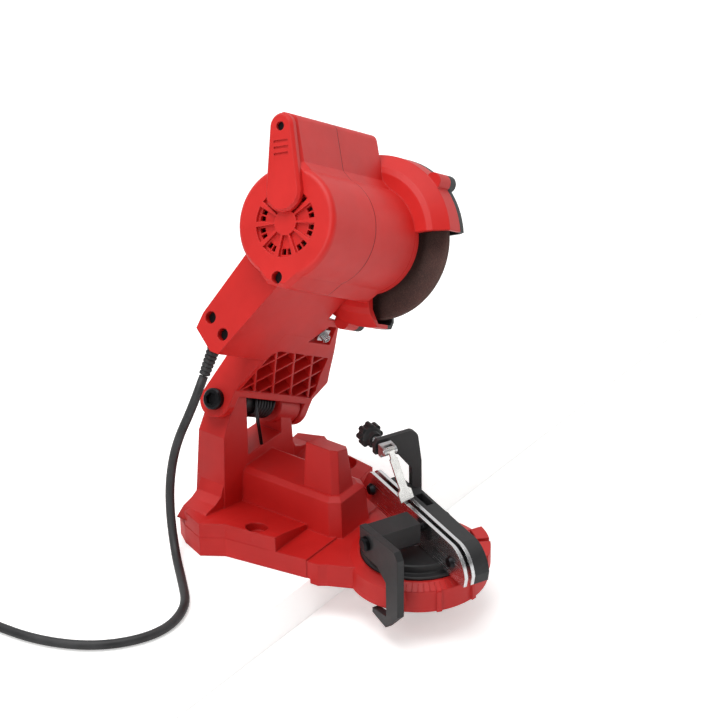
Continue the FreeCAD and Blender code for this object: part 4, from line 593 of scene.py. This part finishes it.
# ---------------------------------------------------------------------------------- torsion spring
# Oiled spring wire, 2.6 mm, wound six times round the sleeve on the hinge. Its long leg hangs from
# the left end and a short one goes up into the arm, so the turns wind up as the head falls.
HINGE_POINT = Vector((0.0126, 0.048, 0.0776))
HINGE_ALONG = Vector((-0.877148, 0.0, 0.480223))
HINGE_FRONT = Vector((0, -1, 0))
HINGE_UP = HINGE_ALONG.cross(HINGE_FRONT)
SPRING_FROM, SPRING_PITCH, SPRING_TURNS, SPRING_STEPS = 0.0146, -0.0036, 6, 20
TURN_RADIUS, WIRE_RADIUS, WIRE_SIDES = 0.0090, 0.0013, 10
LONG_LEG, SHORT_LEG = Vector((-0.0010, -0.0050, -0.0290)), 0.006
wound = []
for step in range(SPRING_TURNS * SPRING_STEPS + 1):
    angle = 2 * math.pi * step / SPRING_STEPS
    wound.append(HINGE_POINT + HINGE_FRONT * TURN_RADIUS * math.cos(angle)
                 + HINGE_UP * TURN_RADIUS * math.sin(angle)
                 + HINGE_ALONG * (SPRING_FROM + SPRING_PITCH * step / SPRING_STEPS))
wound.insert(0, wound[0] + LONG_LEG)
wound.append(wound[-1] + HINGE_UP * SHORT_LEG)
spring_wire = plated("spring_wire", (0.060, 0.060, 0.064), 0.26, 2000.0)
wound_spring = mesh_piece(
    "wound_spring", lambda bm: tube(bm, wound, WIRE_RADIUS, WIRE_SIDES), spring_wire, None,
    "spring_steel", "torsion_spring")
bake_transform(wound_spring)


# --------------------------------------------------------------------------------- bench and light
# A pale board that the base stands on, its seat hanging over the front edge, on a flat white
# floor. Four soft lamps stand round it, and the backdrop is bright with a dim room in front.
BOARD_WIDTH, BOARD_FRONT, BOARD_BACK = 1.6, -0.046, 0.62
BOARD_TOP, BOARD_UNDER = -0.0002, -0.030
FLOOR_REACH, FLOOR_HEIGHT = 6.0, -0.0302


def board_form(bm):
    bmesh.ops.create_cube(bm, size=1.0)
    for vert in bm.verts:
        vert.co = Vector((vert.co.x * BOARD_WIDTH, BOARD_FRONT if vert.co.y < 0 else BOARD_BACK,
                          BOARD_TOP if vert.co.z > 0 else BOARD_UNDER))


def floor_form(bm):
    corners = ((-1, -1), (1, -1), (1, 1), (-1, 1))
    bm.faces.new([bm.verts.new((x * FLOOR_REACH, y * FLOOR_REACH, FLOOR_HEIGHT))
                  for x, y in corners])


def studio(name, build, material):
    bm = bmesh.new()
    build(bm)
    mesh = bpy.data.meshes.new(name)
    bm.to_mesh(mesh)
    bm.free()
    mesh.materials.append(material)
    piece = bpy.data.objects.new(name, mesh)
    bpy.context.collection.objects.link(piece)


# the paper glows a little, but only as the lens sees it, so that it lights nothing
paper = Finish("paper")
sheet_tone = paper.noise(paper.place(), 3.0, 2.0)
white_paper = paper.surface(
    Base_Color=paper.blend(sheet_tone.above(0.3, 0.7), (0.93, 0.93, 0.925), (0.96, 0.96, 0.955)),
    Roughness=0.9,
    Emission_Color=paper.blend(paper.node("ShaderNodeLightPath"), (0.0, 0.0, 0.0),
                               (1.0, 1.0, 0.985)),
    Emission_Strength=0.40,
)
studio("bench_board", board_form, white_paper)
studio("floor", floor_form, white_paper)

AIM = Vector((0, -0.03, 0.12))


def soft_light(name, place, size, power):
    lamp = bpy.data.lights.new(name, "AREA")
    lamp.shape, lamp.size, lamp.energy = "SQUARE", size, power
    holder = bpy.data.objects.new(name, lamp)
    bpy.context.collection.objects.link(holder)
    holder.location = place
    holder.rotation_mode = "QUATERNION"
    holder.rotation_quaternion = (AIM - Vector(place)).to_track_quat("-Z", "Y")


soft_light("key", (-1.8, -0.1, 1.05), 1.0, 11.0)
soft_light("top", (-0.5, 0.1, 2.2), 1.5, 31.0)
soft_light("right", (1.7, -1.1, 0.55), 1.2, 3.5)
soft_light("card", (0.0, -2.0, 0.15), 1.2, 4.0)

BRIGHT_SIDE, DIM_UNTIL, BRIGHT_FROM = (0.80, 0.59, 0.10), -0.5, 0.7
ROOM_STRENGTH, BACKDROP_STRENGTH = 0.16, 0.85
backdrop = Finish("backdrop", "worlds")
sky = backdrop.node("ShaderNodeTexCoord", {}, {}, "Generated")
fade = backdrop.node("ShaderNodeMapRange", {}, {
    "Value": backdrop.along(sky, BRIGHT_SIDE), "From Min": DIM_UNTIL, "From Max": BRIGHT_FROM,
    "To Min": ROOM_STRENGTH, "To Max": BACKDROP_STRENGTH})
bpy.context.scene.world = backdrop.surface(Color=(1, 1, 1), Strength=fade)
bpy.context.scene.view_settings.view_transform = "Standard"
